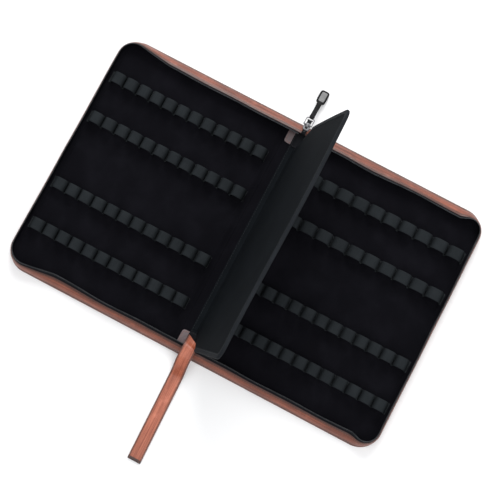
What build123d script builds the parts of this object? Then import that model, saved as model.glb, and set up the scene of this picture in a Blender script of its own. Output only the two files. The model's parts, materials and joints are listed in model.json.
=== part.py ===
from build123d import *
from math import cos, radians, sin
import os

# Zip-around pen case, lying open on its back on a table.  Millimetres.
# Origin: centre of the spine's outer face.  +X runs to the right cover,
# +Y along the spine to the end with the zip slider, +Z up.

# --- Driving dimensions -------------------------------------------------------
case_height = 320.0  # along the spine
cover_width = 228.0  # from a fold line to the free edge of its cover
spine_width = 44.0  # between the two fold lines, so also the closed thickness
corner_radius = 28.0
spine_half = 21.5  # half width of the stiff part of the spine
fold_gap = 5.6  # soft strip between a fold line and the stiff cover

leather = 1.2
board = 2.0
foam = 1.6
lining = 0.8
piping_radius = 1.6

# The rim that stands round each cover: a leather gusset with zip tape above it.
gusset_top = 12.6
gusset_foot_inset = 1.0
gusset_top_inset = 5.0
gusset_lining = 0.6
tape = 0.7
tape_top = 19.8
tape_foot_inset = 5.2
tape_top_inset = 10.4
teeth_top = 21.6
teeth_inset = 10.6
teeth_width = 1.8
zip_start = 48.0  # the stiff run of the zip starts this far from the spine's middle

# Elastic loops.
band_width = 15.0
band_thickness = 1.0
band_strip = 0.8  # the flat part sewn down between two loops
loop_top = 19.6
loop_corner = 6.0
near_band_y = 46.0
far_band_y = 102.0
slim_loops = dict(first=36.2, pitch=17.8, count=12, width=16.6)
wide_loops = dict(first=37.8, pitch=21.4, count=10, width=20.2)

# Divider page, hinged on the spine and leaning to the right.
divider_lean = 12.0  # degrees from upright
divider_half = 147.0
divider_reach = 208.0
divider_corner = 14.0
divider_foot_width = 20.0  # cut from each side at the hinge
divider_foot_height = 52.0  # where the cut meets the side edge
divider_core = 1.6
divider_face = 0.6
divider_hem = 1.4  # radius of the rolled hem that the page turns on
binding_cover = 6.0
binding = 0.5
hinge_tape_half = 9.0
hinge_tape = 0.6

# Leather at the two ends of the spine.
end_tab_half = 9.0
patch_half = 18.0
patch_inner = 130.0
patch = 0.8

# Zip slider, the stub it rides on, and its puller.
stub_half = 2.8
stub = 1.0
stub_level = 16.6
stub_foot = 148.0
stub_end = 166.0
stop_length = 1.2
slider_half = 4.2
slider_wall = 1.0
slider_start = 151.0
slider_end = 161.0
slider_low = 14.2
slider_high = 19.8
channel_low = 16.1
channel_high = 18.1
pin_y = 158.0
pin_z = 20.85
pin_radius = 0.8
link_inner = 4.5
link_outer = 5.7
link_length = 12.0
stem_width = 4.6
stem_thick = 3.0
stem_end = 36.4
grip_width = 12.0
grip_thick = 3.2
grip_end = 55.9
puller_slope = 20.2  # degrees below level, so that the grip lies on the table

# Wrist strap: one leather strip folded double.
strap_width = 17.0
strap_thick = 3.2
strap_slit = 0.2
strap_gap = 0.6  # between the fixed root and the swinging strap
strap_x = 0.5
strap_level = 23.6  # where it crosses the rim
strap_pivot_y = -161.0
strap_end_y = -296.0
strap_skew = 1.4  # degrees

# --- Levels and places worked out from those ----------------------------------
half = case_height / 2
fold_x = spine_width / 2
cover_start = fold_x + fold_gap
cover_end = fold_x + cover_width
skin_inset = 2 * piping_radius
padding_inset = skin_inset + 1.2
board_level = leather
foam_level = board_level + board
lining_level = foam_level + foam
inside = lining_level + lining
spine_lining_level = foam_level
spine_inside = spine_lining_level + lining
rim_foot = 2 * piping_radius
sides = {"left": -1, "right": 1}


def finish(piece, name):
    """Label a finished piece and write it out under the same name."""
    piece.part.label = name
    export_step(piece.part, f"parts/{name}.step")


def cover_outline(side, start, inset):
    """Plan of one cover layer: square at the fold, round at the free corners."""
    width = cover_end - inset - start
    with Locations((side * (start + width / 2), 0)):
        outline = Rectangle(width, case_height - 2 * inset)
    free_corners = outline.vertices().group_by(Axis.X)[-1 if side > 0 else 0]
    fillet(free_corners, corner_radius - inset)


def rim_route(side, start):
    """U-shaped line along the outer edge of one cover, at table level."""
    FilletPolyline(
        (side * start, -half),
        (side * cover_end, -half),
        (side * cover_end, half),
        (side * start, half),
        radius=corner_radius,
    )


def corner_cuts(side):
    """Planes where the straight lengths of a rim strip meet its two corners."""
    straight_end = half - corner_radius
    return (
        Plane.YZ.offset(side * (cover_end - corner_radius)),
        Plane.XZ.offset(straight_end),
        Plane.XZ.offset(-straight_end),
    )


def edge_plane(x, end=-1):
    """Section plane across the rim: its X is the inset from the edge, its Y is up."""
    return Plane(origin=(x, end * half, 0), x_dir=(0, -end, 0), z_dir=(-end, 0, 0))


def leaning_strip(foot_inset, foot, top_inset, top, thick):
    """Section of a strip that stands up from the edge and leans inwards."""
    Polygon(
        (foot_inset, foot),
        (foot_inset + thick, foot),
        (top_inset + thick, top),
        (top_inset, top),
        align=None,
    )


def gusset_section():
    leaning_strip(gusset_foot_inset, rim_foot, gusset_top_inset, gusset_top, leather)


def gusset_lining_section():
    lean = (gusset_top_inset - gusset_foot_inset) / (gusset_top - rim_foot)
    foot_inset = gusset_foot_inset + leather + lean * (inside - rim_foot)
    top_inset = gusset_top_inset + leather
    leaning_strip(foot_inset, inside, top_inset, gusset_top, gusset_lining)


def tape_section():
    leaning_strip(tape_foot_inset, gusset_top, tape_top_inset, tape_top, tape)


def teeth_section():
    with Locations((teeth_inset, tape_top)):
        Rectangle(teeth_width, teeth_top - tape_top, align=Align.MIN)


def piping_section():
    with Locations((piping_radius, piping_radius)):
        Circle(piping_radius)


def loop_centres(first, pitch, count, width):
    return [first + pitch * n for n in range(count)]


def loop_profile(side, loops):
    """Side view of one elastic band: arches joined by strips sewn to the lining."""
    centres = loop_centres(**loops)
    reach = centres[-1] - centres[0]
    rise = loop_top - inside
    middle = side * (centres[0] + centres[-1]) / 2
    with Locations((middle, inside)):
        Rectangle(reach, band_strip, align=(Align.CENTER, Align.MIN))
    with Locations(*[(side * x, inside) for x in centres]):
        RectangleRounded(loops["width"], 2 * rise, loop_corner)
    with Locations(*[(side * x, inside) for x in centres]):
        RectangleRounded(
            loops["width"] - 2 * band_thickness,
            2 * (rise - band_thickness),
            loop_corner - band_thickness,
            mode=Mode.SUBTRACT,
        )
    with Locations((middle, inside)):
        Rectangle(
            reach + 2 * loops["width"],
            2 * rise,
            align=(Align.CENTER, Align.MAX),
            mode=Mode.SUBTRACT,
        )


os.makedirs("parts", exist_ok=True)

# --- Covers -------------------------------------------------------------------
flat_layers = {  # name: start beyond the fold gap, inset, level, thickness
    "cover_leather": (0.0, skin_inset, 0.0, leather),
    "cover_board": (0.6, padding_inset, board_level, board),
    "cover_foam": (0.6, padding_inset, foam_level, foam),
    "cover_lining": (0.0, skin_inset + 0.7, lining_level, lining),
}
rim_strips = {
    "cover_piping": (piping_section, cover_start),
    "cover_gusset": (gusset_section, cover_start),
    "gusset_lining": (gusset_lining_section, cover_start),
    "zip_tape": (tape_section, zip_start),
    "zip_teeth": (teeth_section, zip_start),
}
# The gusset and the tape are thin and lean over, so they are made as straight
# lengths and corners that meet end to end.
jointed_strips = ("cover_gusset", "zip_tape")
for hand, side in sides.items():
    for name, (setback, inset, level, thick) in flat_layers.items():
        with BuildPart() as layer:
            with BuildSketch(Plane.XY.offset(level)):
                cover_outline(side, cover_start + setback, inset)
            extrude(amount=thick)
        finish(layer, f"{hand}_{name}")

    for name, (section, start) in rim_strips.items():
        with BuildPart() as strip:
            with BuildLine():
                rim_route(side, start)
            with BuildSketch(edge_plane(side * start)):
                section()
            sweep()
            if name in jointed_strips:
                for cut in corner_cuts(side):
                    split(bisect_by=cut, keep=Keep.BOTH)
        finish(strip, f"{hand}_{name}")

    rows = {"upper": (1, wide_loops if side > 0 else slim_loops), "lower": (-1, slim_loops)}
    for row, (end, loops) in rows.items():
        for place, distance in {"near": near_band_y, "far": far_band_y}.items():
            with BuildPart() as band:
                with BuildSketch(Plane.XZ.offset(-end * distance)):
                    loop_profile(side, loops)
                extrude(amount=band_width / 2, both=True)
            finish(band, f"{hand}_{row}_{place}_loops")

# --- Spine --------------------------------------------------------------------
spine_layers = {  # half width, half length, level, thickness
    "spine_leather": (spine_half, half - skin_inset, 0.0, leather),
    "spine_board": (spine_half - 3, half - padding_inset, board_level, board),
    "spine_lining": (spine_half - 1, half - skin_inset - 0.7, spine_lining_level, lining),
}
for name, (half_width, half_length, level, thick) in spine_layers.items():
    with BuildPart() as layer:
        with BuildSketch(Plane.XY.offset(level)):
            Rectangle(2 * half_width, 2 * half_length)
        extrude(amount=thick)
    finish(layer, name)

with BuildPart() as spine_piping:
    for end in (-1, 1):
        with BuildSketch(edge_plane(0, end)):
            piping_section()
        extrude(amount=spine_half, both=True)
finish(spine_piping, "spine_piping")

with BuildPart() as spine_end_tabs:
    for end in (-1, 1):
        with BuildSketch(edge_plane(0, end)):
            gusset_section()
        extrude(amount=end_tab_half, both=True)
finish(spine_end_tabs, "spine_end_tabs")

patch_outer = half - skin_inset - 0.7
with BuildPart() as spine_end_patches:
    for end in (-1, 1):
        with BuildSketch(Plane.XY.offset(spine_inside)):
            with Locations((0, end * (patch_inner + patch_outer) / 2)):
                outline = Rectangle(2 * patch_half, patch_outer - patch_inner)
            fillet(outline.vertices(), 3)
            with Locations((0, end * stub_foot)):
                Rectangle(2 * stub_half + 1, 4, mode=Mode.SUBTRACT)
        extrude(amount=patch)
finish(spine_end_patches, "spine_end_patches")

hinge_tape_end = patch_inner - 0.5
with BuildPart() as divider_hinge_tape:
    with BuildSketch(Plane.XY.offset(spine_inside)):
        Rectangle(2 * hinge_tape_half, 2 * hinge_tape_end)
    extrude(amount=hinge_tape)
finish(divider_hinge_tape, "divider_hinge_tape")

# --- Soft strips that bend at the two folds -----------------------------------
for hand, side in sides.items():
    gap_middle = side * (spine_half + cover_start) / 2
    gap_half = (cover_start - spine_half) / 2
    rim_middle = side * (end_tab_half + cover_start) / 2
    rim_half = (cover_start - end_tab_half) / 2
    with BuildPart() as fold_leather:
        with BuildSketch(Plane.XY):
            with Locations((gap_middle, 0)):
                Rectangle(2 * gap_half, case_height - 2 * skin_inset)
        extrude(amount=leather)
        for end in (-1, 1):
            with BuildSketch(edge_plane(gap_middle, end)):
                piping_section()
            extrude(amount=gap_half, both=True)
            with BuildSketch(edge_plane(rim_middle, end)):
                gusset_section()
            extrude(amount=rim_half, both=True)
    finish(fold_leather, f"{hand}_fold_leather")

    lining_middle = side * (spine_half - 1 + cover_start) / 2
    with BuildPart() as fold_lining:
        with BuildSketch(Plane.XY.offset(spine_lining_level)):
            with Locations((lining_middle, 0)):
                Rectangle(2 * gap_half + 1, case_height - 2 * skin_inset - 1.4)
        extrude(amount=lining)
    finish(fold_lining, f"{hand}_fold_lining")

    tail_start = slider_half + 1.1
    tail_middle = side * (tail_start + zip_start) / 2
    with BuildPart() as zip_tails:
        for end in (-1, 1):
            with BuildSketch(edge_plane(tail_middle, end)):
                tape_section()
                teeth_section()
            extrude(amount=(zip_start - tail_start) / 2, both=True)
    finish(zip_tails, f"{hand}_zip_tails")

# --- Where the two halves of the zip meet -------------------------------------
with BuildPart() as zip_bottom_join:
    with BuildSketch(edge_plane(0, -1)):
        tape_section()
        teeth_section()
    extrude(amount=slider_half + 0.8, both=True)
finish(zip_bottom_join, "zip_bottom_join")

with BuildPart() as zip_stub:
    with BuildSketch(Plane.YZ):
        with Locations((stub_foot, spine_inside)):
            Rectangle(stub, stub_level + stub - spine_inside, align=Align.MIN)
        with Locations((stub_foot, stub_level)):
            Rectangle(stub_end - stub_foot, stub, align=Align.MIN)
    extrude(amount=stub_half, both=True)
finish(zip_stub, "zip_stub")

with BuildPart() as zip_end_stop:
    with Locations((0, stub_end - stop_length / 2, stub_level + stub / 2)):
        Box(2 * stub_half + 1.6, stop_length, stub + 1.6)
        Box(2 * stub_half, stop_length, stub, mode=Mode.SUBTRACT)
finish(zip_end_stop, "zip_end_stop")

# --- Slider -------------------------------------------------------------------
slider_middle = (slider_start + slider_end) / 2
slider_length = slider_end - slider_start
with BuildPart() as slider_body:
    with BuildSketch(Plane.XY.offset(slider_low)):
        with Locations((0, slider_middle)):
            outline = Rectangle(2 * slider_half, slider_length)
        fillet(outline.vertices(), 1.6)
    extrude(amount=slider_high - slider_low)
    with Locations((0, slider_middle, (channel_low + channel_high) / 2)):
        Box(
            2 * (slider_half - slider_wall),
            slider_length,
            channel_high - channel_low,
            mode=Mode.SUBTRACT,
        )
finish(slider_body, "slider_body")

bridge_half = 1.5
bridge_wall = 1.3
bridge_start = 153.0
bridge_end = pin_y + pin_radius + 0.25 + bridge_wall
bridge_hole_top = pin_z + pin_radius + 0.25
with BuildPart() as slider_bridge:
    with BuildSketch(Plane.YZ):
        with BuildLine():
            Polyline(
                (bridge_start, slider_high),
                (bridge_start + 2.0, bridge_hole_top + bridge_wall),
                (bridge_end, bridge_hole_top + bridge_wall),
                (bridge_end, slider_high),
                close=True,
            )
        make_face()
        with BuildLine(mode=Mode.PRIVATE) as hole:
            Polyline(
                (bridge_start + 1.6, slider_high),
                (bridge_start + 3.2, bridge_hole_top),
                (bridge_end - bridge_wall, bridge_hole_top),
                (bridge_end - bridge_wall, slider_high),
                close=True,
            )
        make_face(hole.edges(), mode=Mode.SUBTRACT)
    extrude(amount=bridge_half, both=True)
finish(slider_bridge, "slider_bridge")

# --- Puller, sloping down from its pin to the table ---------------------------
slope = radians(puller_slope)
puller_plane = Plane(origin=(0, pin_y, pin_z), x_dir=(1, 0, 0), z_dir=(0, sin(slope), cos(slope)))
link_thick = 2 * pin_radius
with BuildPart() as puller_link:
    with BuildSketch(puller_plane.offset(-link_thick / 2)):
        with Locations((0, (link_length - pin_radius) / 2)):
            Rectangle(2 * link_outer, link_length + pin_radius)
        with Locations((0, (link_length - 2.4 - pin_radius) / 2)):
            Rectangle(2 * link_inner, link_length - 2.4 + pin_radius, mode=Mode.SUBTRACT)
    extrude(amount=link_thick)
    with BuildSketch(Plane.YZ):
        with Locations((pin_y, pin_z)):
            Circle(pin_radius)
    extrude(amount=link_inner, both=True)
finish(puller_link, "puller_link")

stem_start = link_length
with BuildPart() as puller_stem:
    with BuildSketch(puller_plane.offset(-stem_thick / 2)):
        with Locations((0, (stem_start + stem_end) / 2)):
            Rectangle(stem_width, stem_end - stem_start)
    extrude(amount=stem_thick)
finish(puller_stem, "puller_stem")

grip_length = grip_end - stem_end
grip_middle = (stem_end + grip_end) / 2
inlay_depth = 0.5
inlay_inset = 1.5
with BuildPart() as puller_grip:
    with BuildSketch(puller_plane.offset(-grip_thick / 2)):
        with Locations((0, grip_middle)):
            outline = Rectangle(grip_width, grip_length)
        fillet(outline.vertices(), 2)
    extrude(amount=grip_thick)
    for level in (-grip_thick / 2, grip_thick / 2 - inlay_depth):
        with BuildSketch(puller_plane.offset(level)):
            with Locations((0, grip_middle)):
                Rectangle(grip_width - 2 * inlay_inset, grip_length - 2 * inlay_inset)
        extrude(amount=inlay_depth, mode=Mode.SUBTRACT)
finish(puller_grip, "puller_grip")

with BuildPart() as puller_inlays:
    for level in (-grip_thick / 2, grip_thick / 2 - inlay_depth):
        with BuildSketch(puller_plane.offset(level)):
            with Locations((0, grip_middle)):
                Rectangle(grip_width - 2 * inlay_inset, grip_length - 2 * inlay_inset)
        extrude(amount=inlay_depth)
finish(puller_inlays, "puller_inlays")

# --- Divider page -------------------------------------------------------------
lean = radians(divider_lean)
hinge_z = spine_inside + hinge_tape + 0.1 + divider_hem
divider_plane = Plane(
    origin=(0, 0, hinge_z), x_dir=(0, 1, 0), z_dir=(cos(lean), 0, -sin(lean))
)


def divider_outline(start, inset):
    """Plan of the page: round at the free corners, cut away at the hinged corners."""
    side_edge = divider_half - inset
    with BuildLine() as edge:
        top = FilletPolyline(
            (side_edge, divider_foot_height),
            (side_edge, divider_reach - inset),
            (-side_edge, divider_reach - inset),
            (-side_edge, divider_foot_height),
            radius=divider_corner - inset,
        )
        foot_edge = divider_half - divider_foot_width
        Polyline(top @ 1, (-foot_edge, start), (foot_edge, start), top @ 0)
    make_face(edge.edges())


with BuildPart() as core:
    with BuildSketch(divider_plane.offset(-divider_core / 2)):
        divider_outline(0, binding_cover / 2)
    extrude(amount=divider_core)
    with BuildSketch(Plane.XZ):
        with Locations((0, hinge_z)):
            Circle(divider_hem)
    extrude(amount=divider_half - divider_foot_width, both=True)
finish(core, "divider_core")

face_start = divider_hem + 0.2
face_levels = {"left": -divider_core / 2 - divider_face, "right": divider_core / 2}
for hand, level in face_levels.items():
    with BuildPart() as face:
        with BuildSketch(divider_plane.offset(level)):
            divider_outline(face_start, binding_cover / 2)
        extrude(amount=divider_face)
    finish(face, f"divider_face_{hand}")

page_thick = divider_core + 2 * divider_face
binding_foot = divider_foot_height + 1.0
with BuildPart() as divider_binding:
    with BuildLine(divider_plane):
        FilletPolyline(
            (-divider_half, binding_foot),
            (-divider_half, divider_reach),
            (divider_half, divider_reach),
            (divider_half, binding_foot),
            radius=divider_corner,
        )
    foot = divider_plane.from_local_coords(Vector(-divider_half, binding_foot, 0))
    with BuildSketch(Plane(origin=foot, x_dir=(0, 1, 0), z_dir=divider_plane.y_dir)):
        Rectangle(binding_cover, page_thick + 2 * binding, align=(Align.MIN, Align.CENTER))
        with Locations((binding_cover / 2, 0)):
            Rectangle(
                binding_cover / 2, page_thick, align=(Align.MIN, Align.CENTER), mode=Mode.SUBTRACT
            )
    sweep()
finish(divider_binding, "divider_binding")

# --- Wrist strap --------------------------------------------------------------
strap_half = strap_width / 2
root_end = strap_pivot_y + strap_thick / 2 + strap_gap
with BuildPart() as strap_root:
    with BuildSketch(Plane.YZ.offset(strap_x)):
        with BuildLine():
            FilletPolyline(
                (-133.5, 12.0), (-146.0, strap_level), (root_end, strap_level), radius=8
            )
        trace(line_width=strap_thick)
    extrude(amount=strap_half, both=True)
    with BuildSketch(Plane.XY):
        with BuildLine():
            Polyline(
                (strap_x - strap_half - 1, -135.0),
                (strap_x + strap_half + 1, -144.0),
                (strap_x + strap_half + 1, -125.0),
                (strap_x - strap_half - 1, -125.0),
                close=True,
            )
        make_face()
    extrude(amount=2 * strap_level, mode=Mode.SUBTRACT)
finish(strap_root, "strap_root")

skew = radians(strap_skew)
strap_plane = Plane(
    origin=(strap_x, strap_pivot_y, 0), x_dir=(sin(skew), -cos(skew), 0), z_dir=(-cos(skew), -sin(skew), 0)
)
lying = strap_thick / 2
strap_run = strap_pivot_y - strap_end_y
strap_points = [(0, strap_level), (9, 19.0), (20, lying), (strap_run - lying, lying)]
with BuildPart() as wrist_strap:
    with BuildSketch(strap_plane):
        with BuildLine():
            FilletPolyline(*strap_points, radius=8)
        trace(line_width=strap_thick)
        with Locations(strap_points[0], strap_points[-1]):
            Circle(lying)
        with BuildLine(mode=Mode.PRIVATE) as slit:
            FilletPolyline(*strap_points[:-1], (strap_run - 3 * lying, lying), radius=8)
        trace(slit.edges(), line_width=strap_slit, mode=Mode.SUBTRACT)
    extrude(amount=strap_half, both=True)
finish(wrist_strap, "wrist_strap")
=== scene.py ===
import json
import math

import bmesh
import bpy
import numpy as np
from mathutils import Matrix, Vector


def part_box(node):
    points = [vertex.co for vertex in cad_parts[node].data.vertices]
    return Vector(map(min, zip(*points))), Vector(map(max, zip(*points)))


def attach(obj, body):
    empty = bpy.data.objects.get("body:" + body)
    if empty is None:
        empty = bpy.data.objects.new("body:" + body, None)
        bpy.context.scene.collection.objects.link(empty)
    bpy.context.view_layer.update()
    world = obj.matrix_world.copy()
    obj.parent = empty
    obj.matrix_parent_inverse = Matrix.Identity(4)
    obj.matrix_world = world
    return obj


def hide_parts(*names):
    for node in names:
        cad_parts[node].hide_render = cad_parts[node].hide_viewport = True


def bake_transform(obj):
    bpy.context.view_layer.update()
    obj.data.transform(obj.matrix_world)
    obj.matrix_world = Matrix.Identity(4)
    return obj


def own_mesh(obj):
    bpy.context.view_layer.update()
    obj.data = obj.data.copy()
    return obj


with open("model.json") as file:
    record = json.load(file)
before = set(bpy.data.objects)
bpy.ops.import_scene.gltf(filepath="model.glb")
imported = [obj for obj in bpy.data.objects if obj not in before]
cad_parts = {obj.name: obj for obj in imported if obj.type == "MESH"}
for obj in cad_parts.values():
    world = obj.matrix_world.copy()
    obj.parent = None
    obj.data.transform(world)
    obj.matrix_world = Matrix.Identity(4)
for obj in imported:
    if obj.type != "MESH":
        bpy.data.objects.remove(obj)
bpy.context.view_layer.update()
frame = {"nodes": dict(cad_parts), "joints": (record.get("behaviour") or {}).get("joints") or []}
mm = 0.001  # shapes are worked out in millimetres and stored in metres
dice = np.random.default_rng(17)
scene = bpy.context.scene
rightwards, farwards, upright = np.eye(3)


def boxOf(node):
    # lowest and highest corner of a CAD node, in millimetres
    low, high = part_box(node)
    return np.array(low) / mm, np.array(high) / mm


case = {
    "cornerRadius": 28.0,  # of the covers' free corners, at the very edge
    "hands": {"left": -1, "right": 1},
}
pipingBox = boxOf("right_cover_piping")[1]
edgeX, edgeY = pipingBox[0], pipingBox[1]
pipingRadius = pipingBox[2] / 2
coverStart = boxOf("right_cover_leather")[0][0]
skinThick = boxOf("right_cover_leather")[1][2]
skinShell = skinThick - 0.1  # a little thinner, because the skin also rises and creases
inside = boxOf("right_cover_lining")[1][2]
spineHalf = boxOf("spine_leather")[1][0]
spineInside = boxOf("spine_lining")[1][2]
tabHalf = boxOf("spine_end_tabs")[1][0]
zipStart = boxOf("right_zip_tape")[0][0]
tailStart = boxOf("right_zip_tails")[0][0]


class Value:
    # a socket of a material, so that sums and products of sockets read as plain expressions
    def __init__(self, graph, socket):
        self.graph = graph
        self.socket = socket

    def maths(self, operation, first, second=0.0):
        return self.graph.node("ShaderNodeMath", {"operation": operation}, {0: first, 1: second})

    def __add__(self, other):
        return self.maths("ADD", self, other)

    def __sub__(self, other):
        return self.maths("SUBTRACT", self, other)

    def __rsub__(self, other):
        return self.maths("SUBTRACT", other, self)

    def __mul__(self, other):
        return self.maths("MULTIPLY", self, other)

    def __abs__(self):
        return self.maths("ABSOLUTE", self)

    def sine(self):
        return self.maths("SINE", self)

    def between(self, low, high):
        # 0 below low, 1 above high, and a smooth rise from one to the other
        settings = {"interpolation_type": "SMOOTHSTEP"}
        return self.graph.node("ShaderNodeMapRange", settings, {"Value": self, 1: low, 2: high})

    __radd__ = __add__
    __rmul__ = __mul__


class Graph:
    # one material's nodes, ending in its Principled shader
    def __init__(self, name, fixed):
        self.material = bpy.data.materials.new(name)
        self.material.use_nodes = True
        self.nodes = self.material.node_tree.nodes
        self.links = self.material.node_tree.links
        self.shader = self.nodes["Principled BSDF"]
        self.finish(fixed)

    def node(self, kind, settings=None, sockets=None, output=0):
        made = self.nodes.new(kind)
        for key, value in (settings or {}).items():
            setattr(made, key, value)
        for key, value in (sockets or {}).items():
            self.feed(made.inputs[key], value)
        return Value(self, made.outputs[output])

    def feed(self, socket, value):
        if isinstance(value, Value):
            self.links.new(value.socket, socket)
        else:
            socket.default_value = value

    def finish(self, sockets):
        for key, value in sockets.items():
            self.feed(self.shader.inputs[key], value)

    def objectPlace(self, scale=(1, 1, 1), turn=0.0):
        place = self.node("ShaderNodeTexCoord", output="Object")
        return self.mapped(place, scale, turn)

    def surfacePlace(self, scale=(1, 1, 1), turn=0.0):
        place = self.node("ShaderNodeUVMap", {"uv_map": "surface"})
        return self.mapped(place, scale, turn)

    def mapped(self, place, scale, turn):
        sockets = {"Vector": place, "Scale": scale, "Rotation": (0, 0, turn)}
        return self.node("ShaderNodeMapping", {}, sockets)

    def apart(self, place):
        parts = self.node("ShaderNodeSeparateXYZ", {}, {0: place}).socket.node
        return [Value(self, parts.outputs[k]) for k in range(3)]

    def noise(self, place, scale, detail=3.0, roughness=0.55):
        sockets = {"Vector": place, "Scale": scale, "Detail": detail, "Roughness": roughness}
        return self.node("ShaderNodeTexNoise", {}, sockets)

    def cells(self, place, scale, feature="F1"):
        return self.node("ShaderNodeTexVoronoi", {"feature": feature}, {"Vector": place, "Scale": scale})

    def mix(self, factor, low, high):
        return self.node("ShaderNodeMix", {"data_type": "RGBA"}, {0: factor, 6: low, 7: high}, output=2)

    def bump(self, height, strength, depth):
        sockets = {"Height": height, "Strength": strength, "Distance": depth * mm}
        self.finish({"Normal": self.node("ShaderNodeBump", {}, sockets)})


def colour(red, green, blue):
    return (red, green, blue, 1.0)


def leather(name, light, deep, pebble=850.0, streak=0.35, gloss=0.4, shade=None):
    # grained skin: pebbles from cell distances, long streaks along the piece, and cloudy dye;
    # shade gives the places that are dark: dyed cut edges, and painted shade in creases
    graph = Graph(name, {"Specular IOR Level": 0.5, "Coat Roughness": 0.3})
    place = graph.objectPlace()
    pebbles = graph.cells(place, pebble).between(0.05, 0.75)
    pores = graph.noise(place, pebble * 3.2, 2.0)
    clouds = graph.noise(place, 26.0, 4.0).between(0.3, 0.72)
    streaks = graph.noise(graph.surfacePlace((22.0, 620.0, 1.0)), 1.0, 3.0).between(0.32, 0.7)
    rubbed = graph.noise(place, 90.0, 3.0).between(0.56, 0.8)
    depth = clouds * (0.55 - 0.5 * streak) + streaks * streak + pebbles * 0.25
    tint = graph.mix(depth, light, deep)
    pale = colour(*[min(1.0, 1.6 * c + 0.03) for c in light[:3]])
    tint = graph.mix(rubbed * 0.25, tint, pale)
    if shade:
        dark = colour(*[0.12 * c for c in deep[:3]])
        tint = graph.mix(shade(graph) * 0.85, tint, dark)
    graph.finish({
        "Base Color": tint,
        "Roughness": gloss + 0.16 * pebbles + 0.1 * pores - 0.1 * rubbed,
        "Coat Weight": 0.2 + 0.12 * rubbed,
    })
    graph.bump(pebbles * 0.7 + pores * 0.22 + streaks * 0.25, 0.5, 0.16)
    return graph.material


def nap(name, light, deep, fibre=2600.0, rib=0.0, relief=0.4):
    # matt cloth: short fibres from fine noise, worn patches, and ribs along the piece where rib is set
    graph = Graph(name, {"Specular IOR Level": 0.05})
    place = graph.objectPlace()
    fibres = graph.noise(place, fibre, 3.0, 0.7)
    flecks = graph.cells(place, fibre * 0.6).between(0.1, 0.7)
    worn = graph.noise(place, 34.0, 4.0).between(0.35, 0.75)
    shade = worn * 0.45 + fibres * 0.4 + flecks * 0.15
    height = fibres * 0.6 + flecks * 0.4
    if rib:
        along, across, _ = graph.apart(graph.surfacePlace())
        ribs = (across * (2 * math.pi / rib)).sine() * 0.5 + 0.5
        picks = (along * (4 * math.pi / rib)).sine() * 0.5 + 0.5
        shade = shade * 0.6 + ribs * 0.25 + picks * 0.15
        height = height * 0.4 + ribs * 0.4 + picks * 0.2
    graph.finish({"Base Color": graph.mix(shade, deep, light), "Roughness": 0.8 + 0.16 * fibres})
    graph.bump(height, relief, 0.2)
    return graph.material


def webbing(name, light, deep, rib, pick, slant=0.0):
    # woven tape: warp ribs along the piece, weft picks across it, slanted both ways for a herringbone
    graph = Graph(name, {"Specular IOR Level": 0.08})
    along, across, _ = graph.apart(graph.surfacePlace())
    warp = (across * (2 * math.pi / rib)).sine() * 0.5 + 0.5
    lean = abs((across * (math.pi / (3 * rib))).sine()) * slant
    weft = (along * (2 * math.pi / pick) + lean).sine() * 0.5 + 0.5
    fuzz = graph.noise(graph.objectPlace(), 2400.0, 2.0, 0.6)
    worn = graph.noise(graph.objectPlace(), 45.0, 3.0).between(0.35, 0.75)
    weave = warp * 0.55 + weft * 0.45
    shade = weave * 0.55 + fuzz * 0.25 + worn * 0.2
    graph.finish({"Base Color": graph.mix(shade, deep, light), "Roughness": 0.72 + 0.2 * fuzz})
    graph.bump(weave + fuzz * 0.3, 0.55, 0.18)
    return graph.material


def metal(name, light, deep):
    # plated metal: brushed lines along the piece, cloudy polish, and a few fine scratches
    graph = Graph(name, {"Metallic": 1.0})
    place = graph.objectPlace()
    brushed = graph.noise(graph.objectPlace((900.0, 90.0, 900.0)), 1.0, 2.0)
    clouds = graph.noise(place, 320.0, 3.0).between(0.35, 0.7)
    scratches = graph.cells(graph.objectPlace((1.0, 0.18, 1.0), 0.7), 900.0, "DISTANCE_TO_EDGE")
    worn = 1 - scratches.between(0.0, 0.05)
    graph.finish({
        "Base Color": graph.mix(clouds * 0.65 + worn * 0.35, light, deep),
        "Roughness": 0.32 + 0.14 * brushed + 0.12 * worn,
    })
    graph.bump(brushed * 0.5 + worn * 0.4, 0.12, 0.05)
    return graph.material


def moulded(name, light, deep, gloss, grain=1800.0, relief=0.2):
    # moulded rubber or plastic: fine spark-eroded grain and slightly greasy patches
    graph = Graph(name, {"Specular IOR Level": 0.09})
    place = graph.objectPlace()
    pits = graph.cells(place, grain).between(0.1, 0.7)
    patches = graph.noise(place, 140.0, 3.0).between(0.35, 0.7)
    graph.finish({
        "Base Color": graph.mix(patches * 0.5 + pits * 0.5, light, deep),
        "Roughness": gloss + 0.14 * patches + 0.06 * pits,
    })
    graph.bump(pits, relief, 0.08)
    return graph.material


def twine(name, light, deep):
    # sewing thread: turns of ply seen as a fine slanted ripple
    graph = Graph(name, {"Specular IOR Level": 0.3})
    place = graph.objectPlace((1, 1, 1), 0.6)
    ply = graph.node("ShaderNodeTexWave", {}, {"Vector": place, "Scale": 900.0, "Distortion": 2.0})
    fuzz = graph.noise(graph.objectPlace(), 3000.0, 2.0)
    tint = graph.mix(ply * 0.6 + fuzz * 0.4, light, deep)
    graph.finish({"Base Color": tint, "Roughness": 0.55 + 0.2 * fuzz})
    graph.bump(ply, 0.3, 0.05)
    return graph.material


def pressed(name, light, deep, fleck, relief):
    # pressed board or foam: flecks of two sizes
    graph = Graph(name, {"Specular IOR Level": 0.2})
    place = graph.objectPlace()
    small = graph.cells(place, fleck).between(0.1, 0.8)
    large = graph.noise(place, fleck / 12, 4.0).between(0.3, 0.7)
    tint = graph.mix(small * 0.5 + large * 0.5, light, deep)
    graph.finish({"Base Color": tint, "Roughness": 0.8 + 0.15 * large})
    graph.bump(small + large * 0.5, relief, 0.2)
    return graph.material


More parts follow.
